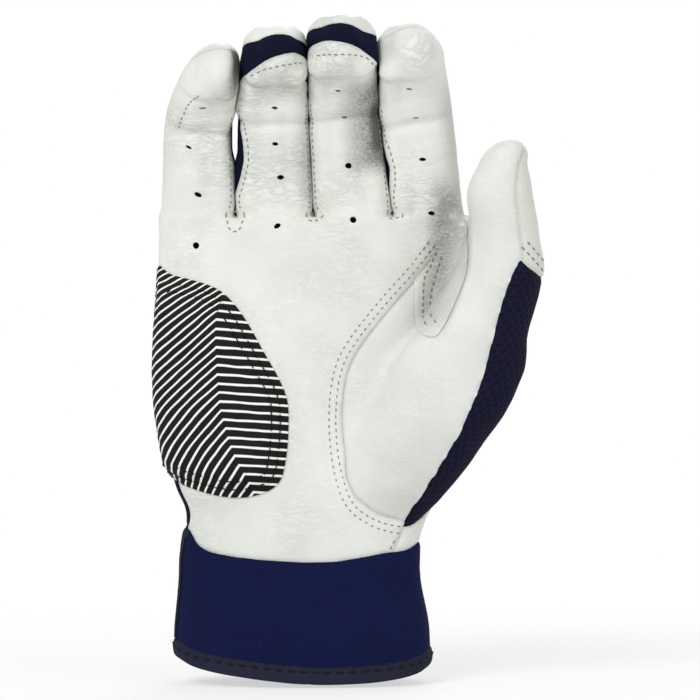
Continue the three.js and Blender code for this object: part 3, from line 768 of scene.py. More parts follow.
def without_islands(labels, smallest=150):
    """Patches smaller than that, cut off from their panel, take the label of what is round them."""
    _, first, second = shared_edges()
    inside = labels[first] == labels[second]
    patch = np.arange(len(labels))
    settled = False
    while not settled:
        before = patch.copy()
        least = np.minimum(patch[first[inside]], patch[second[inside]])
        np.minimum.at(patch, first[inside], least)
        np.minimum.at(patch, second[inside], least)
        patch = patch[patch]
        settled = (patch == before).all()
    small = np.bincount(patch, minlength=len(labels))[patch] < smallest
    around = np.full(len(labels), -1)
    for one, other in ((first, second), (second, first)):
        edge = small[one] & ~small[other] & ~inside
        around[patch[one[edge]]] = labels[other[edge]]
    taken = around[patch]
    changed = small & (taken >= 0)
    print("triangles that change their panel:", int(changed.sum()), "in", len(np.unique(patch[changed])))
    return np.where(changed, taken, labels)


panel = without_islands(panel)
# Every mix of labels gets its own number, so each line between two mixes is evened out
marks = [panel, patch_face, tongue_face, hole_face, wrist_face]
marks += [cuff_face * zone for zone in (hem, closure, slit)]
mix = np.unique(np.stack(marks, axis=1), axis=0, return_inverse=True)[1].ravel()
lines = borders(mix)[0]
ends = np.bincount(lines.ravel(), minlength=len(flat)) == 2
for _ in range(5):
    moved = evened(flat, lines)
    flat = np.where(ends[:, None], moved, flat)
flat = np.where(ends[:, None], onto_form(flat), flat)
arrays = [a[kept] for a in (faces, panel, hem, slit, closure, patch_face, tongue_face, cuff_face,
                            wrist_face)]
faces, panel, hem, slit, closure, patch_face, tongue_face, cuff_face, wrist_face = arrays
lowest = np.unique(faces)
flat[lowest, 2] = np.maximum(flat[lowest, 2], hem_height(flat[lowest, 0]))
rest = curled(flat)
flat_x, flat_y, flat_z = flat.T

# The thenar leather's border sinks less than other seams: only its edges where that leather comes
# second count as sewn, and above this height none does
THENAR_SEWN_TO = 136
UNSEWN = [("palm_leather", f"{name}_front_leather") for name in FINGER_NAMES]
UNSEWN += [("thenar_leather", "thumb_front_leather"), ("thumb_back_mesh", "thumb_front_leather")]
UNSEWN += [(web, f"{name}_gusset_strip") for web in SKIN_NODES[5:8] for name in FINGER_NAMES]
unsewn = {frozenset((NODE[a], NODE[b])) for a, b in UNSEWN}
seam_edges, seam_a, seam_b = borders(panel + 50 * wrist_face)
sewn = np.array([frozenset(pair) not in unsewn for pair in zip(seam_a.tolist(), seam_b.tolist())])
at_seam = flat[seam_edges].mean(axis=1)
thenar = NODE["thenar_leather"]
sewn &= ~((seam_a == thenar) | ((seam_b == thenar) & (at_seam[:, 2] > THENAR_SEWN_TO)))


def distance_to(edges):
    ends = np.unique(edges)
    spots = np.concatenate([rest[ends], rest[edges].mean(axis=1)])
    tree = KDTree(len(spots))
    for number, spot in enumerate(spots):
        tree.insert(spot, number)
    tree.balance()
    return np.array([tree.find(p)[2] for p in rest])


def between(first, second):
    a, b = NODE[first], NODE[second]
    return seam_edges[((seam_a == a) & (seam_b == b)) | ((seam_a == b) & (seam_b == a))]


from_seam = distance_to(seam_edges[sewn])
from_thenar = distance_to(between("palm_leather", "thenar_leather"))
print("sewn seam edges:", int(sewn.sum()))


# %% Directions out of the skin
def normals_of(points, triangles):
    a, b, c = (points[triangles[:, k]] for k in range(3))
    face = np.cross(b - a, c - a)
    return unit(sum(summed_at(corner, face, len(points)) for corner in triangles.T))


def round_cuff(normals):
    """Near the hem the skin faces straight out, whatever the thin triangles at its edge say."""
    out = unit(sample(form_slope, flat) * [1, 1, 0])
    share = ease(flat_z - hem_height(flat_x), 3.5, 1.5)[:, None]
    return unit(normals * (1 - share) + out * share)


def averaged(normals, rounds=3):
    """Directions out of the skin, each averaged with those of the points next to it."""
    edges = edges_of(faces)
    for _ in range(rounds):
        normals = unit(normals + neighbours_of(normals, edges))
    return normals


outward = averaged(round_cuff(normals_of(rest, faces)))

# %% Creases across the fingers, folds in the palm and the slight unevenness of filled leather
def unevenness(points, size, offset):
    return np.array([noise.noise(Vector(p)) for p in points / size + offset])


def soft_line(distance, width):
    return np.exp(-((distance / width) ** 2))


digit = digit_of(flat)
strip_numbers = [NODE[name] for name in SKIN_NODES if "gusset" in name]
on_strip = np.zeros(len(flat), bool)
on_strip[np.unique(faces[np.isin(panel, strip_numbers)])] = True
# Broad waves and small bumps, each with its height, its size and an offset into the noise
raised = 0.35 * unevenness(flat * [1, 1, 0.7], 13, 3.1) + 0.12 * unevenness(flat, 4.5, 8.7)
raised *= ease(flat_z, 44, 60)
at_tip = np.zeros(len(flat))
# How much lower each bent fingertip's top lies, in millimetres
TIP_DROP = (1.6, 1.6, 0.9, 0.9)
# For each finger: which points it owns, and their places across it, along it and out of its palm side
places = [(digit == number, *on_finger(finger, flat)) for number, finger in enumerate(FINGERS)]
for finger, drop, (own, s, v, n) in zip(FINGERS, TIP_DROP, places):
    to_end = v - finger["length"]
    tip = own * ease(to_end, -11, -3)
    to_corner = np.clip(np.abs(s - drift_at(finger, v)) / (finger["widths"][2] / 2), 0, 1.1)
    raised = raised * (1 - 0.75 * tip) - tip * (2.7 * to_corner**2 - 0.3)
    at_tip = np.maximum(at_tip, own * ease(to_end, -9, -2))
    facing_up = np.clip(outward[:, 2], 0, 1) ** 2 * ease(to_end, -24, -14)
    raised -= drop * facing_up * own
# The bottom of the valley between the thumb and the palm, across and up, then its depth and width
VALLEY = np.array([[36.8, 150], [36.2, 140], [35.4, 130], [32.4, 120], [27.8, 108]])
VALLEY_DEPTH = 1.6
VALLEY_WIDTH = 5.5
valley_x = np.interp(flat_z, VALLEY[::-1, 1], VALLEY[::-1, 0])
in_valley = soft_line(flat_x - valley_x, VALLEY_WIDTH) * ease(flat_z, 104, 126) * ease(flat_z, 152, 144)
facing_front = np.clip(-outward[:, 1], 0, 1)
raised -= VALLEY_DEPTH * in_valley * facing_front * ease(flat_z, 146, 138)
# Place along the finger, depth and width of each crease
CREASES = [(0.03, 0.25, 1.6), (0.28, 0.2, 1.5), (0.5, 0.6, 2.3), (0.66, 0.2, 1.2), (0.8, 0.4, 1.8)]
# Places along the finger where the leather swells between two creases, how much and how widely
SWELL_PLACES = (0.59, 0.87)
SWELL = 0.4
SWELL_WIDTH = 4
for number, (finger, (own, s, v, n)) in enumerate(zip(FINGERS, places)):
    on_front = own * ease(n, 0, 8) * ease(v, -4, 2)
    for share, depth, width in CREASES:
        wave = 0.9 * np.sin(s / 4.2 + 7 * share + number) + 0.35 * np.sin(s / 1.9 + number)
        raised -= depth * on_front * soft_line(v - share * finger["length"] - wave, width)
    for share in SWELL_PLACES:
        raised += SWELL * on_front * soft_line(v - share * finger["length"], SWELL_WIDTH)
# Leather is pulled in at a seam and rises again over some millimetres beside it
sinking = 0.3 * ease(from_seam, 0.5, 6) - 0.3 - 0.5 * soft_line(from_seam, 0.8)
between_fingers = (digit < 4) * ease(flat_z, CROTCH_Z - 5, CROTCH_Z + 1)
sideways = ease(np.abs(outward[:, 0]), 0.25, 0.65) * between_fingers
raised += sinking * (1 - 0.85 * sideways) * np.where(on_strip, 0.3, 1)
# How much of the room between two neighbours stays open. Below zero the leathers press together
ROOM_LEFT = (-0.35, -0.45, -0.35)
# Between little and ring finger the gap opens a little more, half way up
little_opening = ease(flat_z, 162, 168) * ease(flat_z, 184, 178)
for number in range(4):
    for neighbour in (number - 1, number + 1):
        if not 0 <= neighbour < 4:
            continue
        pair = min(number, neighbour)
        room = sample(digits[neighbour], flat) / 2 - ROOM_LEFT[pair] - (pair == 0) * little_opening
        facing = (np.sign(outward[:, 0]) == neighbour - number) & (digit == number)
        raised += facing * sideways * np.clip(room, -0.3, 2.4) * (1 - at_tip)
# Painted shade, kept as grey: the leather is darkened and more wrinkled in the folds beside a finger and
# beside the thumb, where the sides turn from the light
grey = np.zeros(len(flat))
# Finger, then from and to across, from and to along, and how strongly
PAINTED_SHADE_SIDES = [(0, 1.5, 7, 49, 62, 1.3), (1, 4, 10, 4, 50, 0.45), (2, -5, 8, 15, 47, 1.25),
              (2, 4.5, 7.5, 19, 41, 1.75), (3, 5, 11, 0, 40, 0.4)]
for number, s0, s1, v0, v1, strength in PAINTED_SHADE_SIDES:
    own, s, v, n = places[number]
    across = s - drift_at(FINGERS[number], v)
    side = ease(across, s0, s1) * ease(v, v0 - 4, v0 + 4) * ease(v, v1 + 8, v1 - 4)
    grey = np.maximum(grey, strength * side * own * (n > -6))
# Beside the thumb's valley, to its left, the painted shade grows over some millimetres and then ends
into_valley = valley_x - flat_x
painted_shade_left_of_valley = ease(into_valley, 14, 7) * ease(into_valley, -1.3, 0)
painted_shade_left_of_valley *= 0.45 + 0.4 * ease(into_valley, 1, 7)
painted_shade_left_of_valley *= np.where(digit == 4, ease(flat_z, 147, 141), 1)
painted_shade_left_of_valley *= ease(flat_z, 106, 118) * ease(flat_z, 166, 144) * (flat_y < 2)
grey = np.maximum(grey, painted_shade_left_of_valley)
print("skin moves between", round(raised.min(), 2), "and", round(raised.max(), 2), "mm")

# %% [markdown]
# ## Panels with a thickness
# A panel is a thin closed shell: an outer face, an inner face and a rim where it was cut. All panels
# share the skin's directions for shading, so the leather that runs from the palm into a finger shows
# no line where the moving finger begins.

# %% Build one panel as a mesh object
LEATHER = 1.1
# The middle of the hand's section and its half-sizes, across and front to back
ROUND_MIDDLE = (-14.5, 2)
ROUND_HALF = (47, 15)
# A piece whose middle lies behind this line counts the distance round on past half way
PALM_SIDE_Y = 3
skin = rest + outward * raised[:, None]
skin_out = round_cuff(normals_of(skin, faces))


def around_hand(points):
    """Distance round the hand from the middle of the palm side, in millimetres."""
    angle = np.arctan2((points[:, 0] - ROUND_MIDDLE[0]) / ROUND_HALF[0],
                       (ROUND_MIDDLE[1] - points[:, 1]) / ROUND_HALF[1])
    turns = np.linspace(-math.pi, math.pi, 721)
    power = 2 / HAND_SQUARENESS
    x = np.sign(np.sin(turns)) * np.abs(np.sin(turns)) ** power
    y = -np.sign(np.cos(turns)) * np.abs(np.cos(turns)) ** power
    steps = np.hypot(np.diff(x) * ROUND_HALF[0], np.diff(y) * ROUND_HALF[1])
    length = np.append(0, np.cumsum(steps))
    return np.interp(angle, np.arctan2(x, -y), length - length[360])


# The distance round to a point just left of the middle of the back
HALF_ROUND = abs(float(around_hand(np.array([[-14.6, 17.0, 90.0]]))[0]))


def add_layer(mesh, name, values):
    """Stores values on the points of a mesh, as vectors where each has three numbers."""
    is_vector = np.ndim(values) == 2
    store = mesh.attributes.new(name, "FLOAT_VECTOR" if is_vector else "FLOAT", "POINT")
    store.data.foreach_set("vector" if is_vector else "value", np.ravel(values))


def in_scene_as(name, data):
    piece = bpy.data.objects.new(name, data)
    bpy.context.scene.collection.objects.link(piece)
    return piece


def shell(name, chosen, outer, inner, material, own_shading=False):
    triangles = faces[chosen]
    used, local = np.unique(triangles, return_inverse=True)
    local = local.reshape(-1, 3)
    count = len(used)
    top, low = (skin[used] + skin_out[used] * np.broadcast_to(offset, len(rest))[used][:, None]
                for offset in (outer, inner))
    around = sides_of(local)
    key = around[:, 0].astype(np.int64) * count + around[:, 1]
    back = around[:, 1].astype(np.int64) * count + around[:, 0]
    rim = around[~np.isin(key, back)]
    walls = np.stack([rim[:, 1], rim[:, 0], rim[:, 0] + count, rim[:, 1] + count], axis=1)
    mesh = bpy.data.meshes.new(name)
    polygons = local.tolist() + (local[:, ::-1] + count).tolist() + walls.tolist()
    mesh.from_pydata(in_scene(np.concatenate([top, low])).tolist(), [], polygons)
    shade = normals_of(top, local) if own_shading else skin_out[used]
    wall_shade = unit(np.cross(top[rim[:, 1]] - top[rim[:, 0]], skin_out[used][rim[:, 0]]))
    loops = np.concatenate([
        shade[local.ravel()], -shade[local[:, ::-1].ravel()], np.repeat(wall_shade, 4, axis=0),
    ])
    mesh.polygons.foreach_set("use_smooth", [True] * len(mesh.polygons))
    mesh.normals_split_custom_set(loops.tolist())
    turned = around_hand(flat[used])
    if flat_y[used].mean() > PALM_SIDE_Y:
        turned = np.where(turned < 0, turned + HALF_ROUND * 2, turned)
    add_layer(mesh, "place", np.tile(flat[used], (2, 1)) * MM)
    add_layer(mesh, "round_hand", np.tile(turned, 2) * MM)
    add_layer(mesh, "seam", np.tile(from_seam[used], 2) * MM)
    # The painted shade: how much darker and more wrinkled the leather is drawn
    add_layer(mesh, "grey", np.tile(grey[used], 2))
    mesh.materials.append(material)
    piece = in_scene_as(name, mesh)
    return piece


# %% [markdown]
# ## Shared effects for the materials
# Leather grain, woven threads and the holes of a mesh are each built once as a node group. A group
# gives back a height for the bump and a shade for the colour, and each material sets its own sizes.
# All of them read `place`, the point's position in the straight glove, so nothing slides when a
# finger bends.

# %% Helpers for node trees
def linear(red, green, blue):
    """A colour from its 0 to 255 screen values."""
    values = [channel / 255 for channel in (red, green, blue)]
    return tuple(v / 12.92 if v <= 0.04045 else ((v + 0.055) / 1.055) ** 2.4 for v in values) + (1.0,)


def add(tree, kind, inputs=None, **settings):
    node = tree.nodes.new(kind)
    for key, value in settings.items():
        setattr(node, key, value)
    for key, value in (inputs or {}).items():
        if isinstance(value, bpy.types.NodeSocket):
            tree.links.new(value, node.inputs[key])
        else:
            node.inputs[key].default_value = value
    return node


def maths(tree, operation, *values):
    return add(tree, "ShaderNodeMath", dict(enumerate(values)), operation=operation).outputs[0]


def vector_maths(tree, operation, *values):
    node = add(tree, "ShaderNodeVectorMath", dict(enumerate(values)), operation=operation)
    return node.outputs["Value" if operation == "LENGTH" else "Vector"]


def mixed(tree, share, first, second):
    return add(tree, "ShaderNodeMix", {0: share, 6: first, 7: second}, data_type="RGBA").outputs[2]


def ranged(tree, value, low, high, start=0.0, end=1.0, **settings):
    """Turns low to high into start to end, and holds the ends beyond them."""
    inputs = {"Value": value, "From Min": low, "From Max": high, "To Min": start, "To Max": end}
    return add(tree, "ShaderNodeMapRange", inputs, **settings).outputs[0]


def cloudy(tree, place, scale, detail, output="Fac"):
    inputs = {"Vector": place, "Scale": scale, "Detail": detail}
    return add(tree, "ShaderNodeTexNoise", inputs).outputs[output]


def layer(tree, name, output="Fac"):
    return add(tree, "ShaderNodeAttribute", attribute_name=name).outputs[output]


def use(tree, group, **inputs):
    named = {key.replace("_", " "): value for key, value in inputs.items()}
    return add(tree, "ShaderNodeGroup", named, node_tree=group).outputs


def new_group(name, inputs, outputs):
    tree = bpy.data.node_groups.new(name, "ShaderNodeTree")
    for title, kind, default in inputs:
        socket = tree.interface.new_socket(name=title, in_out="INPUT", socket_type=kind)
        if default is not None:
            socket.default_value = default
    for title in outputs:
        tree.interface.new_socket(name=title, in_out="OUTPUT", socket_type=FLOAT)
    return tree, tree.nodes.new("NodeGroupInput").outputs, tree.nodes.new("NodeGroupOutput").inputs


FLOAT, VECTOR = "NodeSocketFloat", "NodeSocketVector"
RESULTS = ("Height", "Shade")

# %% Leather grain: fine pebbles, and longer wrinkles that run across the panel
grain, given, out = new_group(
    "leather grain",
    [("Place", VECTOR, None), ("Pebble Size", FLOAT, 0.0009), ("Wrinkles", FLOAT, 0.5)],
    RESULTS,
)
spot = vector_maths(grain, "DIVIDE", given["Place"], given["Pebble Size"])
pebbles = add(grain, "ShaderNodeTexVoronoi", {"Vector": spot, "Scale": 1.0}, feature="SMOOTH_F1")
long_spot = vector_maths(grain, "MULTIPLY", given["Place"], (260.0, 330.0, 620.0))
bent = cloudy(grain, given["Place"], 55.0, 2.0, "Color")
long_spot = vector_maths(grain, "ADD", long_spot, vector_maths(grain, "MULTIPLY", bent, (3.0, 3.0, 3.0)))
wrinkle = add(grain, "ShaderNodeTexNoise", {"Vector": long_spot, "Scale": 1.0, "Detail": 3.0,
                                            "Roughness": 0.55}).outputs["Fac"]
folds = maths(grain, "ABSOLUTE", maths(grain, "SUBTRACT", wrinkle, 0.5))
folds = maths(grain, "POWER", maths(grain, "MINIMUM", maths(grain, "MULTIPLY", folds, 5.0), 1.0), 0.6)
patchy = ranged(grain, cloudy(grain, given["Place"], 38.0, 1.0), 0.4, 0.62)
amount = maths(grain, "MULTIPLY", given["Wrinkles"], patchy)
deep = maths(grain, "MULTIPLY", maths(grain, "SUBTRACT", folds, 1.0), amount)
grain.links.new(maths(grain, "ADD", maths(grain, "MULTIPLY", pebbles.outputs["Distance"], 0.35), deep),
                out["Height"])
# Shade: painted shade, darker where a wrinkle folds deeper
grain.links.new(maths(grain, "MULTIPLY", deep, -1.0), out["Shade"])

# %% Woven rows: threads that cross, from two distances along the cloth
weave, given, out = new_group(
    "woven rows",
    [("Across", FLOAT, 0.0), ("Along", FLOAT, 0.0), ("Across Pitch", FLOAT, 0.001),
     ("Along Pitch", FLOAT, 0.001)],
    RESULTS,
)
ribs = []
for title in ("Across", "Along"):
    turns = maths(weave, "DIVIDE", given[title], given[title + " Pitch"])
    ribs.append(maths(weave, "ABSOLUTE", maths(weave, "SINE", maths(weave, "MULTIPLY", turns, math.pi))))
bead = maths(weave, "MULTIPLY", *ribs)
weave.links.new(bead, out["Height"])
weave.links.new(maths(weave, "SUBTRACT", 1.0, bead), out["Shade"])

# %% Holes of a knitted mesh, in staggered rows
cells, given, out = new_group(
    "mesh cells",
    [("Across", FLOAT, 0.0), ("Along", FLOAT, 0.0), ("Pitch", FLOAT, 0.002)],
    RESULTS,
)
u = maths(cells, "DIVIDE", given["Across"], given["Pitch"])
w = maths(cells, "DIVIDE", given["Along"], given["Pitch"])


def lattice(shift):
    a = maths(cells, "WRAP", maths(cells, "ADD", u, shift), 0.5, -0.5)
    b = maths(cells, "WRAP", maths(cells, "ADD", w, shift * math.sqrt(3)), math.sqrt(3) / 2,
              -math.sqrt(3) / 2)
    pair = add(cells, "ShaderNodeCombineXYZ", {"X": a, "Y": b}).outputs[0]
    return vector_maths(cells, "LENGTH", pair)


nearest = maths(cells, "MINIMUM", lattice(0.0), lattice(0.5))
wall = ranged(cells, nearest, 0.18, 0.46, interpolation_type="SMOOTHSTEP")
cells.links.new(wall, out["Height"])
cells.links.new(maths(cells, "SUBTRACT", 1.0, wall), out["Shade"])
print("effects:", [group.name for group in bpy.data.node_groups])


# %% Start a finish: a plain shader that has its own roughness and its read-outs of the skin
def new_finish(name, roughness, gloss):
    material = bpy.data.materials.new(name)
    material.use_nodes = True
    shader = material.node_tree.nodes["Principled BSDF"]
    shader.inputs["Roughness"].default_value = roughness
    shader.inputs["Specular IOR Level"].default_value = gloss
    return material, material.node_tree, shader


def start_finish(name, roughness, gloss):
    material, tree, shader = new_finish(name, roughness, gloss)
    place = layer(tree, "place", "Vector")
    height = add(tree, "ShaderNodeSeparateXYZ", {"Vector": place}).outputs["Z"]
    return material, tree, shader, place, layer(tree, "round_hand"), height


def colour_by(tree, shader, share, first, second):
    tree.links.new(mixed(tree, share, linear(*first), linear(*second)), shader.inputs["Base Color"])


def raise_by(tree, shader, height, distance):
    bump = add(tree, "ShaderNodeBump", {"Strength": 1.0, "Distance": distance, "Height": height})
    tree.links.new(bump.outputs[0], shader.inputs["Normal"])


def leather_finish(name, colour, shaded, wrinkles, pebble=0.0009, finger_wrinkles=0.0):
    material, tree, shader, place, _, height = start_finish(name, 0.6, 0.35)
    if finger_wrinkles:
        wrinkles = ranged(tree, height, 0.128, 0.165, wrinkles, finger_wrinkles)
    # Painted shade: the grey layer deepens the wrinkles and darkens the colour
    painted_shade_amount = layer(tree, "grey")
    wrinkles = maths(tree, "ADD", wrinkles, maths(tree, "MULTIPLY", painted_shade_amount, 1.2))
    skin_grain = use(tree, grain, Place=place, Pebble_Size=pebble, Wrinkles=wrinkles)
    # Painted shade in the sunken seams: the colour darkens within 1.2 mm of a sewn seam
    painted_seam_shade = ranged(tree, layer(tree, "seam"), 0.0, 0.0012, 0.55, 0.0)
    cloud = ranged(tree, cloudy(tree, place, 45.0, 3.0), 0.35, 0.7, 0.0, 0.35)
    # The darker tone comes with cloudy patches, the painted seam shade and half the painted shade of the
    # wrinkle folds
    share = maths(tree, "ADD", maths(tree, "ADD", cloud, painted_seam_shade),
                  maths(tree, "MULTIPLY", skin_grain["Shade"], 0.5))
    share = maths(tree, "MINIMUM", share, 1.0)
    tone = mixed(tree, share, linear(*colour), linear(*shaded))
    # Painted shade: a speckled dark grey where the grey layer is set, and a darker grey where it passes 1
    speckle = ranged(tree, cloudy(tree, place, 1600.0, 2.0), 0.35, 0.65, 0.5, 0.8)
    tone = mixed(tree, maths(tree, "MULTIPLY", painted_shade_amount, speckle), tone, linear(116, 119, 113))
    darkest_painted_shade = maths(tree, "SUBTRACT", painted_shade_amount, 1.0)
    tree.links.new(mixed(tree, darkest_painted_shade, tone, linear(58, 60, 57)), shader.inputs["Base Color"])
    raise_by(tree, shader, skin_grain["Height"], 0.00018)
    return material


def mesh_finish(name, colour, hole, pitch):
    material, tree, shader, _, turn, height = start_finish(name, 0.85, 0.1)
    look = use(tree, cells, Across=turn, Along=height, Pitch=pitch)
    fine = use(tree, weave, Across=turn, Along=height, Across_Pitch=0.0007, Along_Pitch=0.0007)
    colour_by(tree, shader, look["Shade"], colour, hole)
    fine_height = maths(tree, "MULTIPLY", fine["Height"], 0.15)
    raise_by(tree, shader, maths(tree, "ADD", look["Height"], fine_height), 0.0004)
    return material


def knit_finish(name, colour, between, across_pitch, along_pitch, depth, on_hand=True):
    material, tree, shader, place, turn, height = start_finish(name, 0.85, 0.1)
    if not on_hand:
        sides = add(tree, "ShaderNodeSeparateXYZ", {"Vector": place}).outputs
        turn, height = sides["Y"], maths(tree, "ADD", sides["X"], sides["Z"])
    look = use(tree, weave, Across=turn, Along=height, Across_Pitch=across_pitch, Along_Pitch=along_pitch)
    cloud = maths(tree, "ADD", cloudy(tree, place, 70.0, 4.0), 0.35)
    share = maths(tree, "MINIMUM", maths(tree, "MULTIPLY", look["Shade"], cloud), 1.0)
    colour_by(tree, shader, share, colour, between)
    raise_by(tree, shader, look["Height"], depth)
    return material


# %% The finishes
palm_finish = leather_finish("palm leather finish", (224, 227, 220), (192, 195, 187), 0.6, 0.0009, 1.2)
thumb_finish = leather_finish("thumb leather finish", (222, 224, 219), (196, 199, 193), 0.5)
# A darker copy of the thumb leather: painted shade for the thumb's tip cap, on the side turned from the
# light
shaded_thumb_finish = leather_finish("thumb leather painted shade finish", (214, 217, 208), (186, 189, 180), 0.4)
mesh_back_finish = mesh_finish("navy mesh finish", (23, 23, 47), (17, 17, 36), 0.0021)
strip_finish = knit_finish("navy strip finish", (15, 18, 46), (9, 10, 28), 0.0009, 0.0009, 0.0002, False)
cuff_finish = knit_finish("navy knit cuff finish", (17, 26, 70), (11, 17, 52), 0.0008, 0.0007, 0.00018)
flex_finish = knit_finish("navy flex panel finish", (30, 38, 84), (12, 15, 40), HALF_ROUND * 0.002,
                          0.0024, 0.0008)
tape_finish = knit_finish("dark tape finish", (44, 47, 64), (30, 32, 47), 0.0007, 0.0006, 0.00012)
loop_finish = knit_finish("loop patch finish", (24, 25, 28), (8, 8, 10), 0.0006, 0.0006, 0.0005)
hook_finish = knit_finish("hook patch finish", (30, 31, 34), (8, 8, 10), 0.0012, 0.0012, 0.0006)
print("finishes:", [m.name for m in bpy.data.materials if m.name.endswith("finish")])

# %% The black patch with thin chevron lines
CHEVRON_PITCH = 0.0028
CHEVRON_LINE = 0.27
APEX = np.array([
    [-47.2, 125.3], [-46.9, 114.4], [-45.7, 108.4], [-44.7, 102.9], [-43.8, 97.5], [-42.7, 92],
    [-41.3, 86], [-38.8, 80.5], [-36.3, 74.5], [-33.3, 69.1], [-29.8, 63.6], [-27.5, 58],
])[::-1]
patch_finish, tree, shader, _, turn, height = start_finish("black patch finish", 0.7, 0.15)
beside = maths(tree, "SUBTRACT", turn, layer(tree, "apex"))
right_arm = maths(tree, "MULTIPLY", beside, math.tan(math.radians(3.6)))
left_arm = maths(tree, "MULTIPLY", beside, -math.tan(math.radians(40)))
phase = maths(tree, "ADD", height, maths(tree, "MAXIMUM", right_arm, left_arm))
cycle = maths(tree, "FRACT", maths(tree, "DIVIDE", phase, CHEVRON_PITCH))
off_line = maths(tree, "ABSOLUTE", maths(tree, "SUBTRACT", cycle, 0.5))
line = ranged(tree, off_line, CHEVRON_LINE / 2 + 0.02, CHEVRON_LINE / 2 - 0.02)
cloth = use(tree, weave, Across=turn, Along=height, Across_Pitch=0.0008, Along_Pitch=0.0008)
dark = mixed(tree, cloth["Shade"], linear(26, 24, 24), linear(16, 14, 14))
tree.links.new(mixed(tree, line, dark, linear(238, 238, 234)), shader.inputs["Base Color"])
raise_by(tree, shader, maths(tree, "ADD", maths(tree, "MULTIPLY", cloth["Height"], 0.3), line), 0.00015)


# %% Plain small finishes: thread, foam, rubber
def plain_finish(name, colour, shaded, roughness, grain_size, depth):
    material, tree, shader = new_finish(name, roughness, 0.3)
    spots = add(tree, "ShaderNodeTexCoord").outputs["Object"]
    speckle = cloudy(tree, spots, 1 / grain_size, 3.0)
    colour_by(tree, shader, speckle, colour, shaded)
    raise_by(tree, shader, speckle, depth)
    return material


grey_thread = plain_finish("grey thread finish", (150, 152, 150), (96, 98, 96), 0.7, 0.0004, 0.0001)
black_thread = plain_finish("black thread finish", (12, 12, 15), (5, 5, 7), 0.9, 0.0004, 0.0001)
rubber_finish = plain_finish("rubber finish", (34, 35, 38), (24, 25, 27), 0.45, 0.0015, 0.0001)

# %% [markdown]
# ## The panels, one by one
# Each panel takes its triangles from the cut skin. The palm leather is folded over and stitched down
# on the ball of the thumb, so its border stands a little over the thenar panel. The mesh strips lie
# deeper than the leather that is sewn over their edges.

# %% Panels that ride on the hand
def is_panel(name):
    return panel == NODE[name]


def hand_piece(name, nodes, chosen, outer, inner, finish, own_shading=False):
    """A piece of skin that stands for the named CAD nodes and rides on the hand."""
    piece = shell(name, chosen, outer, inner, finish, own_shading)
    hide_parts(*nodes)
    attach(piece, "hand")
    return piece


ROWS = (1.9, 4.0)
PATCH_ROWS = (2.5, 5.0)
lap = 0.5 * (1 - ease(from_thenar, 4.6, 6.6)) - 0.25 * soft_line(from_thenar, 0.35)
for row in ROWS:
    lap = lap - 0.2 * soft_line(from_thenar - row, 0.6)
lap = lap * ease(flat_z, 138, 132)
thumb_mesh = is_panel("thumb_back_mesh")
for name, node, chosen, outer, inner, finish, slot in (
    ("palm_leather_skin", "palm_leather", is_panel("palm_leather"), lap, -LEATHER, palm_finish,
     "white_leather"),
    ("thenar_leather_skin", "thenar_leather", is_panel("thenar_leather"), -0.1, -LEATHER, thumb_finish,
     "white_leather"),
    ("thumb_back_mesh_skin", "thumb_back_mesh", thumb_mesh & ~wrist_face, -0.25, -1.1, mesh_back_finish,
     "navy_mesh"),
    ("wrist_leather_skin", "thumb_back_mesh", wrist_face, 0, -LEATHER, palm_finish, "white_leather"),
    ("back_of_hand_mesh_skin", "back_of_hand_mesh", is_panel("back_of_hand_mesh"), 0, -1.0,
     mesh_back_finish, "navy_mesh"),
    ("knuckle_flex_skin", "knuckle_flex_panel", is_panel("knuckle_flex_panel"), 0.3, -1.0, flex_finish,
     "navy_knit"),
):
    hand_piece(name, [node], chosen, outer, inner, finish)
for web in SKIN_NODES[5:8]:
    hand_piece(web + "_skin", [web], is_panel(web), -0.35, -1.1, strip_finish)

# %% The cuff and its tapes
TAPE_HALF = 2.8
front_cuff = is_panel("wrist_cuff")
back_cuff = is_panel("cuff_back_panel")
up_tape = (flat_z - hem_height(flat_x)) / TAPE_HALF - 1
tape_bulge = 0.3 + 0.9 * np.sqrt(np.clip(1 - up_tape**2, 0, 1))
slit_bulge = 0.5 + 0.5 * ease(flat_y, -4.5, -2)
for name, node, chosen, outer, inner, finish, slot in (
    ("wrist_cuff_knit", "wrist_cuff", front_cuff & (slit <= 1) & (hem >= 2), 0.5, -1.5, cuff_finish,
     "navy_knit"),
    ("cuff_back_knit", "cuff_back_panel", back_cuff & (hem >= 2), 0.5, -1.5, cuff_finish, "navy_knit"),
    ("hem_tape_front", "cuff_bottom_binding", front_cuff & (hem <= 2), tape_bulge, -2.4, tape_finish,
     "dark_tape"),
    ("hem_tape_back", "cuff_back_binding", back_cuff & (hem <= 2), tape_bulge, -2.4, tape_finish,
     "dark_tape"),
    ("slit_tape", "cuff_slit_binding", front_cuff & (hem == 3) & ((slit == 1) | (slit == 2)), slit_bulge,
     -2.4, tape_finish, "dark_tape"),
):
    hand_piece(name, [node], chosen, outer, inner, finish)

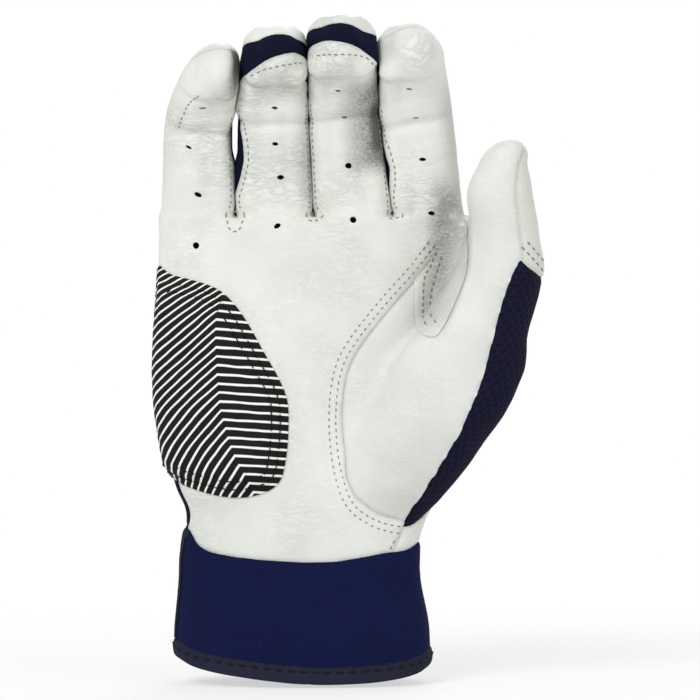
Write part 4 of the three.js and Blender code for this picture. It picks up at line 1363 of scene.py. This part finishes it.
# %% The heel pad and the tongue
from_patch_edge = distance_to(borders(patch_face.astype(int))[0])
rise = 1.1 + 2.4 * ease(from_patch_edge, 0.5, 6) - 0.7 * soft_line(from_patch_edge, 0.5)
for row in PATCH_ROWS:
    rise = rise - 0.35 * soft_line(from_patch_edge - row, 0.7)
pad = hand_piece("heel_pad", ["heel_pad_cover", "heel_pad_foam"], patch_face, rise, 0.15, patch_finish,
                 own_shading=True)
pad_z = np.array([v.vector[2] for v in pad.data.attributes["place"].data]) * 1000
apex_x = np.interp(pad_z, APEX[:, 1], APEX[:, 0])
add_layer(pad.data, "apex", around_hand(np.stack([apex_x, 0 * pad_z - 12, pad_z], axis=1)) * MM)
from_tongue_edge = distance_to(borders(tongue_face.astype(int))[0])
into_fold = ease(into_valley, 5.5, 1) * ease(flat_z, 110, 122)
tongue_rise = 0.7 - 0.45 * into_fold - 0.3 * soft_line(from_tongue_edge, 0.4) * (1 - into_fold)
hand_piece("thumb_crotch_tongue", ["thumb_crotch_patch"], tongue_face, tongue_rise, 0.1, palm_finish,
           own_shading=True)

# %% The closure: loop patch, root, strap, hook patch and pull tab
def in_closure(*zones):
    return np.isin(closure, zones) & cuff_face


hand_piece("loop_pile", ["loop_patch"], in_closure(2, 3, 4), 1.8, 0.7, loop_finish)
hand_piece("strap_root_tape", ["strap_root"], in_closure(8), 4.8, 0.7, tape_finish)
for name, node, zones, outer, inner, finish, slot in (
    ("closure_strap_knit", "closure_strap", (4, 5, 6), 4.8, 3.2, cuff_finish, "navy_knit"),
    ("hook_strip", "hook_patch", (4, 5), 2.9, 2.1, hook_finish, "black_fastener"),
    ("pull_tab_rubber", "pull_tab", (2,), 5.2, 2.8, rubber_finish, "black_rubber"),
):
    piece = shell(name, in_closure(*zones), outer, inner, finish)
    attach(piece, "strap")
    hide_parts(node)


for finger in FINGERS:
    name = finger["name"]
    for part, outer, material, slot in (
        ("front_leather", 0, palm_finish, "white_leather"),
        ("gusset_strip", -0.15, strip_finish, "navy_mesh"),
        ("back_leather", 0, palm_finish, "white_leather"),
    ):
        node = f"{name}_{part}"
        piece = shell(node + "_skin", is_panel(node), outer, -LEATHER, material)
        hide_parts(node)
        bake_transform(piece)

for node, material in (("thumb_front_leather", thumb_finish), ("thumb_tip_cap", shaded_thumb_finish)):
    piece = shell(node + "_skin", is_panel(node), -0.1, -LEATHER, material)
    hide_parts(node)
    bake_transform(piece)

# %% [markdown]
# ## Stitches
# Thread is the finest real shape on a glove, and a row of stitches shows where two layers are joined.
# Each stitch is a short thread that rises from one needle hole and dips into the next. A row follows
# a line drawn on the straight glove, and a ray finds the skin under each point of it.

# %% Find the skin under a drawn line
flat_tree = BVHTree.FromPolygons(flat.tolist(), faces.tolist())
IN = np.array([0.0, 1.0, 0.0])
RAY_START = 80
RAY_LENGTH = 200


def under(points, direction=IN):
    """For each point, the three corners of the triangle below it and their shares."""
    corners = np.zeros((len(points), 3), int)
    shares = np.zeros((len(points), 3))
    found = np.zeros(len(points), bool)
    for i, (point, way) in enumerate(zip(points, np.broadcast_to(direction, (len(points), 3)))):
        hit, _, number, _ = flat_tree.ray_cast(Vector(point - RAY_START * way), Vector(way), RAY_LENGTH)
        if number is None:
            continue
        a, b, c = flat[faces[number]]
        whole = np.cross(b - a, c - a)
        size = whole @ whole
        hit = np.array(hit)
        u = np.cross(c - b, hit - b) @ whole / size
        w = np.cross(a - c, hit - c) @ whole / size
        corners[i], shares[i], found[i] = faces[number], (u, w, 1 - u - w), True
    return corners, shares, found


def spaced(line, pitch):
    """Points at even steps along a line."""
    line = np.asarray(line, float)
    steps = np.append(0, np.cumsum(np.linalg.norm(np.diff(line, axis=0), axis=1)))
    at = np.arange(0, steps[-1], pitch)
    return np.stack([np.interp(at, steps, line[:, k]) for k in range(line.shape[1])], axis=1)


# A stitch that lands more than this many times its length long has crossed a gap and is left out
LONGEST_STITCH = 2.2
THREAD_RADIUS = 0.2
THREAD_SIDES = 5


def thread_mesh(name, stitches, material, radius=THREAD_RADIUS):
    """One mesh of many short threads, each with its centre points and outward directions."""
    points = []
    polygons = []
    turns = np.arange(THREAD_SIDES) * 2 * math.pi / THREAD_SIDES
    for centres, ups, _ in stitches:
        start = len(points)
        along = unit(np.gradient(centres, axis=0))
        side = unit(np.cross(along, ups))
        up = np.cross(side, along)
        for k in range(len(centres)):
            for turn in turns:
                points.append(centres[k] + radius * (math.cos(turn) * side[k] + math.sin(turn) * up[k]))
        for k in range(len(centres) - 1):
            for j in range(THREAD_SIDES):
                a = start + k * THREAD_SIDES + j
                b = start + k * THREAD_SIDES + (j + 1) % THREAD_SIDES
                polygons.append((a, b, b + THREAD_SIDES, a + THREAD_SIDES))
        last = start + (len(centres) - 1) * THREAD_SIDES
        polygons.append(tuple(range(start + THREAD_SIDES - 1, start - 1, -1)))
        polygons.append(tuple(range(last, last + THREAD_SIDES)))
    mesh = bpy.data.meshes.new(name)
    mesh.from_pydata(in_scene(np.array(points)).tolist(), [], polygons)
    mesh.polygons.foreach_set("use_smooth", [True] * len(mesh.polygons))
    mesh.materials.append(material)
    return in_scene_as(name, mesh)


def sew(line, pitch, length, lift=0.0, direction=IN, over=0.12, under_by=0.18):
    """Stitches along a line of points on the straight glove: centres, directions and flat places."""
    stitches = []
    starts = spaced(line, pitch)
    heading = unit(np.gradient(starts, axis=0))
    shares = np.linspace(-0.5, 0.5, 4)
    heights = lift + np.array([-under_by, over, over, -under_by])
    ways = direction(starts) if callable(direction) else np.broadcast_to(direction, starts.shape)
    for start, way, aim in zip(starts, heading, ways):
        path = start + length * shares[:, None] * way
        corners, weights, found = under(path, aim)
        if not found.all():
            continue
        spots = (skin[corners] * weights[..., None]).sum(axis=1)
        ups = unit((skin_out[corners] * weights[..., None]).sum(axis=1))
        if np.linalg.norm(spots[-1] - spots[0]) > LONGEST_STITCH * length:
            continue
        stitches.append((spots + ups * heights[:, None], ups, start))
    return stitches


def drawn_line(corners, distance=0.0, closed=False):
    """A smooth line over the palm side, from corners given as across and up, moved to its left."""
    line = rounded_outline(corners, closed)
    ahead = np.roll(line, -1, axis=0) - np.roll(line, 1, axis=0) if closed else np.gradient(line, axis=0)
    ahead = unit(ahead)
    moved = line + distance * np.stack([-ahead[:, 1], ahead[:, 0]], axis=1)
    if closed:
        moved = np.concatenate([moved, moved[:1]])
    return np.stack([moved[:, 0], np.zeros(len(moved)), moved[:, 1]], axis=1)


# %% Rows on the hand: the ball of the thumb, the tongue, the wrist and the heel pad
THENAR_SEAM = [
    [18.6, 51], [14, 51.5], [8, 53.5], [2, 58.5], [-1.5, 70], [-2.6, 84], [-1, 97], [3.5, 106],
    [13, 118], [21, 127], [28, 136],
]
# Low on the hand the seam's rows end at this line
SEAM_END = 15.4
# The step from one stitch to the next, and the stitch's length
HAND_STITCH = (2.1, 1.0)
WRIST_STITCH = (2.0, 1.2)
PATCH_STITCH = (2.3, 1.5)
FINGER_STITCH = (2.1, 1.15)
TIP_STITCH = (2.1, 1.1)
THUMB_STITCH = (2.2, 1.1)
HEM_DASH = (3.6, 2.1)
SLIT_SHADOW_CORD = (1.8, 1.9)
grey_rows = []
for row in ROWS:
    line = drawn_line(THENAR_SEAM, row)
    line = line[(line[:, 0] < SEAM_END) | (line[:, 2] > 60)]
    grey_rows += sew(line, *HAND_STITCH, lift=0.3)
for corners in (
    [[26.6, 134.4], [25.4, 131], [23.2, 127], [22.6, 121], [22.7, 115], [24.4, 110.6]],
    [[28.6, 133], [27.4, 129], [25.6, 124], [24.9, 119], [25.2, 115], [27, 112]],
):
    grey_rows += sew(drawn_line(corners), *HAND_STITCH, lift=0.8)
grey_rows += sew(drawn_line([[16.2, 50], [14.9, 46.9], [13.7, 44.4], [12.2, 41.6]]), *WRIST_STITCH)
# The patch's rows run up to this line on the hand's side
PATCH_ROWS_X = -56
black_rows = []
for inset_by, lift in zip(PATCH_ROWS, (1.8, 3.2)):
    outline = drawn_line(PATCH_CORNERS, -inset_by, closed=True)
    outline = outline[outline[:, 0] > PATCH_ROWS_X]
    start = int(np.argmax(np.linalg.norm(np.diff(outline, axis=0), axis=1))) + 1
    black_rows += sew(np.roll(outline, -start, axis=0), *PATCH_STITCH, lift=lift)
print(len(grey_rows) + len(black_rows), "stitches on the palm side")

# %% Rows round the crotches and up the sides of the fingers
# How far up its finger a row reaches, how far in from the finger's side it lies, and the points of
# its drawn line
ROW_REACH = 0.62
ROW_INSET = 2.3
ROW_POINTS = 16
# How far below the roots of its two fingers each row turns
CROTCH_DROPS = (5.6, 2.4, 1.6)
finger_rows = {name: [] for name in FINGER_NAMES}


def sort_rows(stitches):
    """Stitches below the knuckles stay with the hand, and the others go to their finger."""
    for stitch in stitches:
        start = stitch[2]
        rows = grey_rows
        if start[2] >= CROTCH_Z + KNUCKLE_V:
            rows = finger_rows[FINGER_NAMES[int(digit_of(start[None])[0])]]
        rows.append(stitch)


for left, right, drop in zip(FINGERS[:-1], FINGERS[1:], CROTCH_DROPS):
    left_v = np.linspace(ROW_REACH * left["length"], 1, ROW_POINTS)
    right_v = np.linspace(1, ROW_REACH * right["length"], ROW_POINTS)
    left_s = finger_width(left, left_v) / 2 - ROW_INSET + drift_at(left, left_v)
    right_s = ROW_INSET - finger_width(right, right_v) / 2 + drift_at(right, right_v)
    if right["name"] in STRIP_TURN:
        amount, middle_v, reach = STRIP_TURN[right["name"]]
        right_s += 0.55 * amount * np.clip(1 - ((right_v - middle_v) / reach) ** 2, 0, 1)
    left_side = off_finger(left, left_s, left_v, np.zeros(ROW_POINTS))
    right_side = off_finger(right, right_s, right_v, np.zeros(ROW_POINTS))
    middle = (left_side[-1] + right_side[0]) / 2
    turn = np.array([middle + [dx, 0, -drop - dz] for dx, dz in ((-1.5, -0.6), (0, 0), (1.5, -0.6))])
    sort_rows(sew(np.concatenate([left_side, turn, right_side]), *FINGER_STITCH))
# The outer side of the little finger has a short row of its own
outer_v = np.linspace(0.55, 0.86, 12) * FINGERS[0]["length"]
outer_s = 4.6 - finger_width(FINGERS[0], outer_v) / 2 + drift_at(FINGERS[0], outer_v)
sort_rows(sew(off_finger(FINGERS[0], outer_s, outer_v, np.zeros(12)), *FINGER_STITCH))


def edge_at_tip(finger, s):
    """How far up the finger its front leather reaches, at the place s across it."""
    v = np.arange(finger["length"] - 16, finger["length"] + 1, 0.2)
    corners, shares, found = under(off_finger(finger, np.full(len(v), s), v, np.zeros(len(v))))
    places = (flat[corners[found]] * shares[found][..., None]).sum(axis=1)
    return v[found][panel_at(places) == NODE[finger["name"] + "_front_leather"]].max()


for finger in FINGERS[1:3]:
    tip_s = np.linspace(-0.4, 0.4, 13) * finger["widths"][2] + finger["drift"]
    tip_v = np.array([edge_at_tip(finger, s) for s in tip_s]) - 1.5
    print(finger["name"], "tip edge at", tip_v.round(1).tolist())
    sort_rows(sew(off_finger(finger, tip_s, tip_v, np.zeros(13)), *TIP_STITCH))

# %% Rows on the thumb tip, the black dashes on the hem's tape, and a black cord as painted shadow along the slit tape's edge
HEM_MIDDLE = np.array([-15.0, 0, 0])
HEM_HALF = (39, 17.5)
DASH_HEIGHT = 3.9
DASH_RADIUS = 0.32
TIP_EDGE = [[52.2, 134.5], [55.2, 131.3], [58.4, 128.1], [60.5, 125]]
thumb_rows = []
for up_by in (1.2, 3.4):
    thumb_rows += sew(drawn_line(TIP_EDGE, up_by), *THUMB_STITCH)
turns = np.radians(np.arange(0, 361, 3))
hem_line = HEM_MIDDLE + np.stack(
    [HEM_HALF[0] * np.cos(turns), HEM_HALF[1] * np.sin(turns), 0 * turns], axis=1,
)
hem_line[:, 2] = hem_height(hem_line[:, 0]) + DASH_HEIGHT


def towards_middle(points):
    return unit((HEM_MIDDLE - points) * [1, 1, 0])


tape_rows = sew(hem_line, *HEM_DASH, lift=1.15, direction=towards_middle, over=0.1, under_by=0.1)
# A continuous black cord along the front edge of the slit's tape: painted shadow of that edge
slit_shadow_line = np.array([[-60.0, -4.2, z] for z in np.linspace(14, 46, 20)])
tape_rows += sew(slit_shadow_line, *SLIT_SHADOW_CORD, lift=0.6, direction=np.array([1.0, 0, 0]), over=0.1, under_by=0)
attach(thread_mesh("tape_dashes", tape_rows, black_thread, DASH_RADIUS), "hand")
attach(thread_mesh("grey_stitches", grey_rows, grey_thread), "hand")
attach(thread_mesh("black_stitches", black_rows, black_thread), "hand")
for finger in FINGERS:
    piece = thread_mesh(finger["name"] + "_stitches", finger_rows[finger["name"]], grey_thread)
    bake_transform(piece)
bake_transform(thread_mesh("thumb_stitches", thumb_rows, grey_thread))
print({name: len(rows) for name, rows in finger_rows.items()}, "stitches on the fingers")

# %% [markdown]
# ## Light, floor and camera
# The photograph is lit softly from all round, on white. Three broad lamps and a pale world do the
# same, with the lamp at the upper left a little stronger, so that the folds still show.

# %% Floor, world and lamps
FLOOR_Z = -0.0002


def seen_directly(tree):
    """1 for rays from the camera and for rays that a mirror or glass sends on."""
    path = add(tree, "ShaderNodeLightPath").outputs
    seen = maths(tree, "MAXIMUM", path["Is Camera Ray"], path["Is Glossy Ray"])
    return maths(tree, "MAXIMUM", seen, path["Is Transmission Ray"])


floor_mesh = bpy.data.meshes.new("floor")
floor_mesh.from_pydata([(-3, -3, 0), (3, -3, 0), (3, 3, 0), (-3, 3, 0)], [], [(0, 1, 2, 3)])
floor = in_scene_as("floor", floor_mesh)
floor.location.z = FLOOR_Z
floor_material, tree, base = new_finish("floor finish", 0.9, 0.5)
base.inputs["Base Color"].default_value = (0.9, 0.9, 0.9, 1)
glow = add(tree, "ShaderNodeEmission", {"Color": (1, 1, 1, 1), "Strength": 1.0})
away = vector_maths(tree, "LENGTH", add(tree, "ShaderNodeTexCoord").outputs["Object"])
fade = ranged(tree, away, 0.08, 0.35, 0.6, interpolation_type="SMOOTHSTEP")
shown = maths(tree, "MULTIPLY", seen_directly(tree), fade)
both = add(tree, "ShaderNodeMixShader", {0: shown, 1: base.outputs[0], 2: glow.outputs[0]})
tree.links.new(both.outputs[0], tree.nodes["Material Output"].inputs["Surface"])
floor_mesh.materials.append(floor_material)

world = bpy.data.worlds.new("studio")
bpy.context.scene.world = world
world.use_nodes = True
tree = world.node_tree
tree.nodes.clear()
strength = ranged(tree, seen_directly(tree), 0.0, 1.0, 0.5)
sky = add(tree, "ShaderNodeBackground", {"Color": (1, 1, 1, 1), "Strength": strength})
surface = add(tree, "ShaderNodeOutputWorld")
tree.links.new(sky.outputs[0], surface.inputs["Surface"])


def lamp(name, place, size, power):
    light = bpy.data.lights.new(name, "AREA")
    light.size = size
    light.energy = power
    piece = in_scene_as(name, light)
    piece.location = place
    aim = Vector((0, 0, 0.1)) - Vector(place)
    piece.rotation_euler = aim.to_track_quat("-Z", "Y").to_euler()


lamp("upper left lamp", (-0.7, -1.1, 1.1), 0.7, 14)
lamp("right lamp", (1.1, -0.8, 0.5), 0.8, 4)
lamp("back lamp", (0.3, 1.2, 1.0), 1.0, 8)

# %% The camera, at the height and the distance that give the photograph's frame
CAMERA_DISTANCE = 1.0
FRAME_HEIGHT = 0.219
camera_data = bpy.data.cameras.new("camera")
camera_data.sensor_width = 36
camera_data.lens = 36 * CAMERA_DISTANCE / FRAME_HEIGHT
camera = in_scene_as("camera", camera_data)
camera.location = (0.0011, -CAMERA_DISTANCE, 0.1043)
camera.rotation_euler = (math.radians(90), 0, 0)
bpy.context.scene.camera = camera
bpy.context.scene.view_settings.view_transform = "Standard"
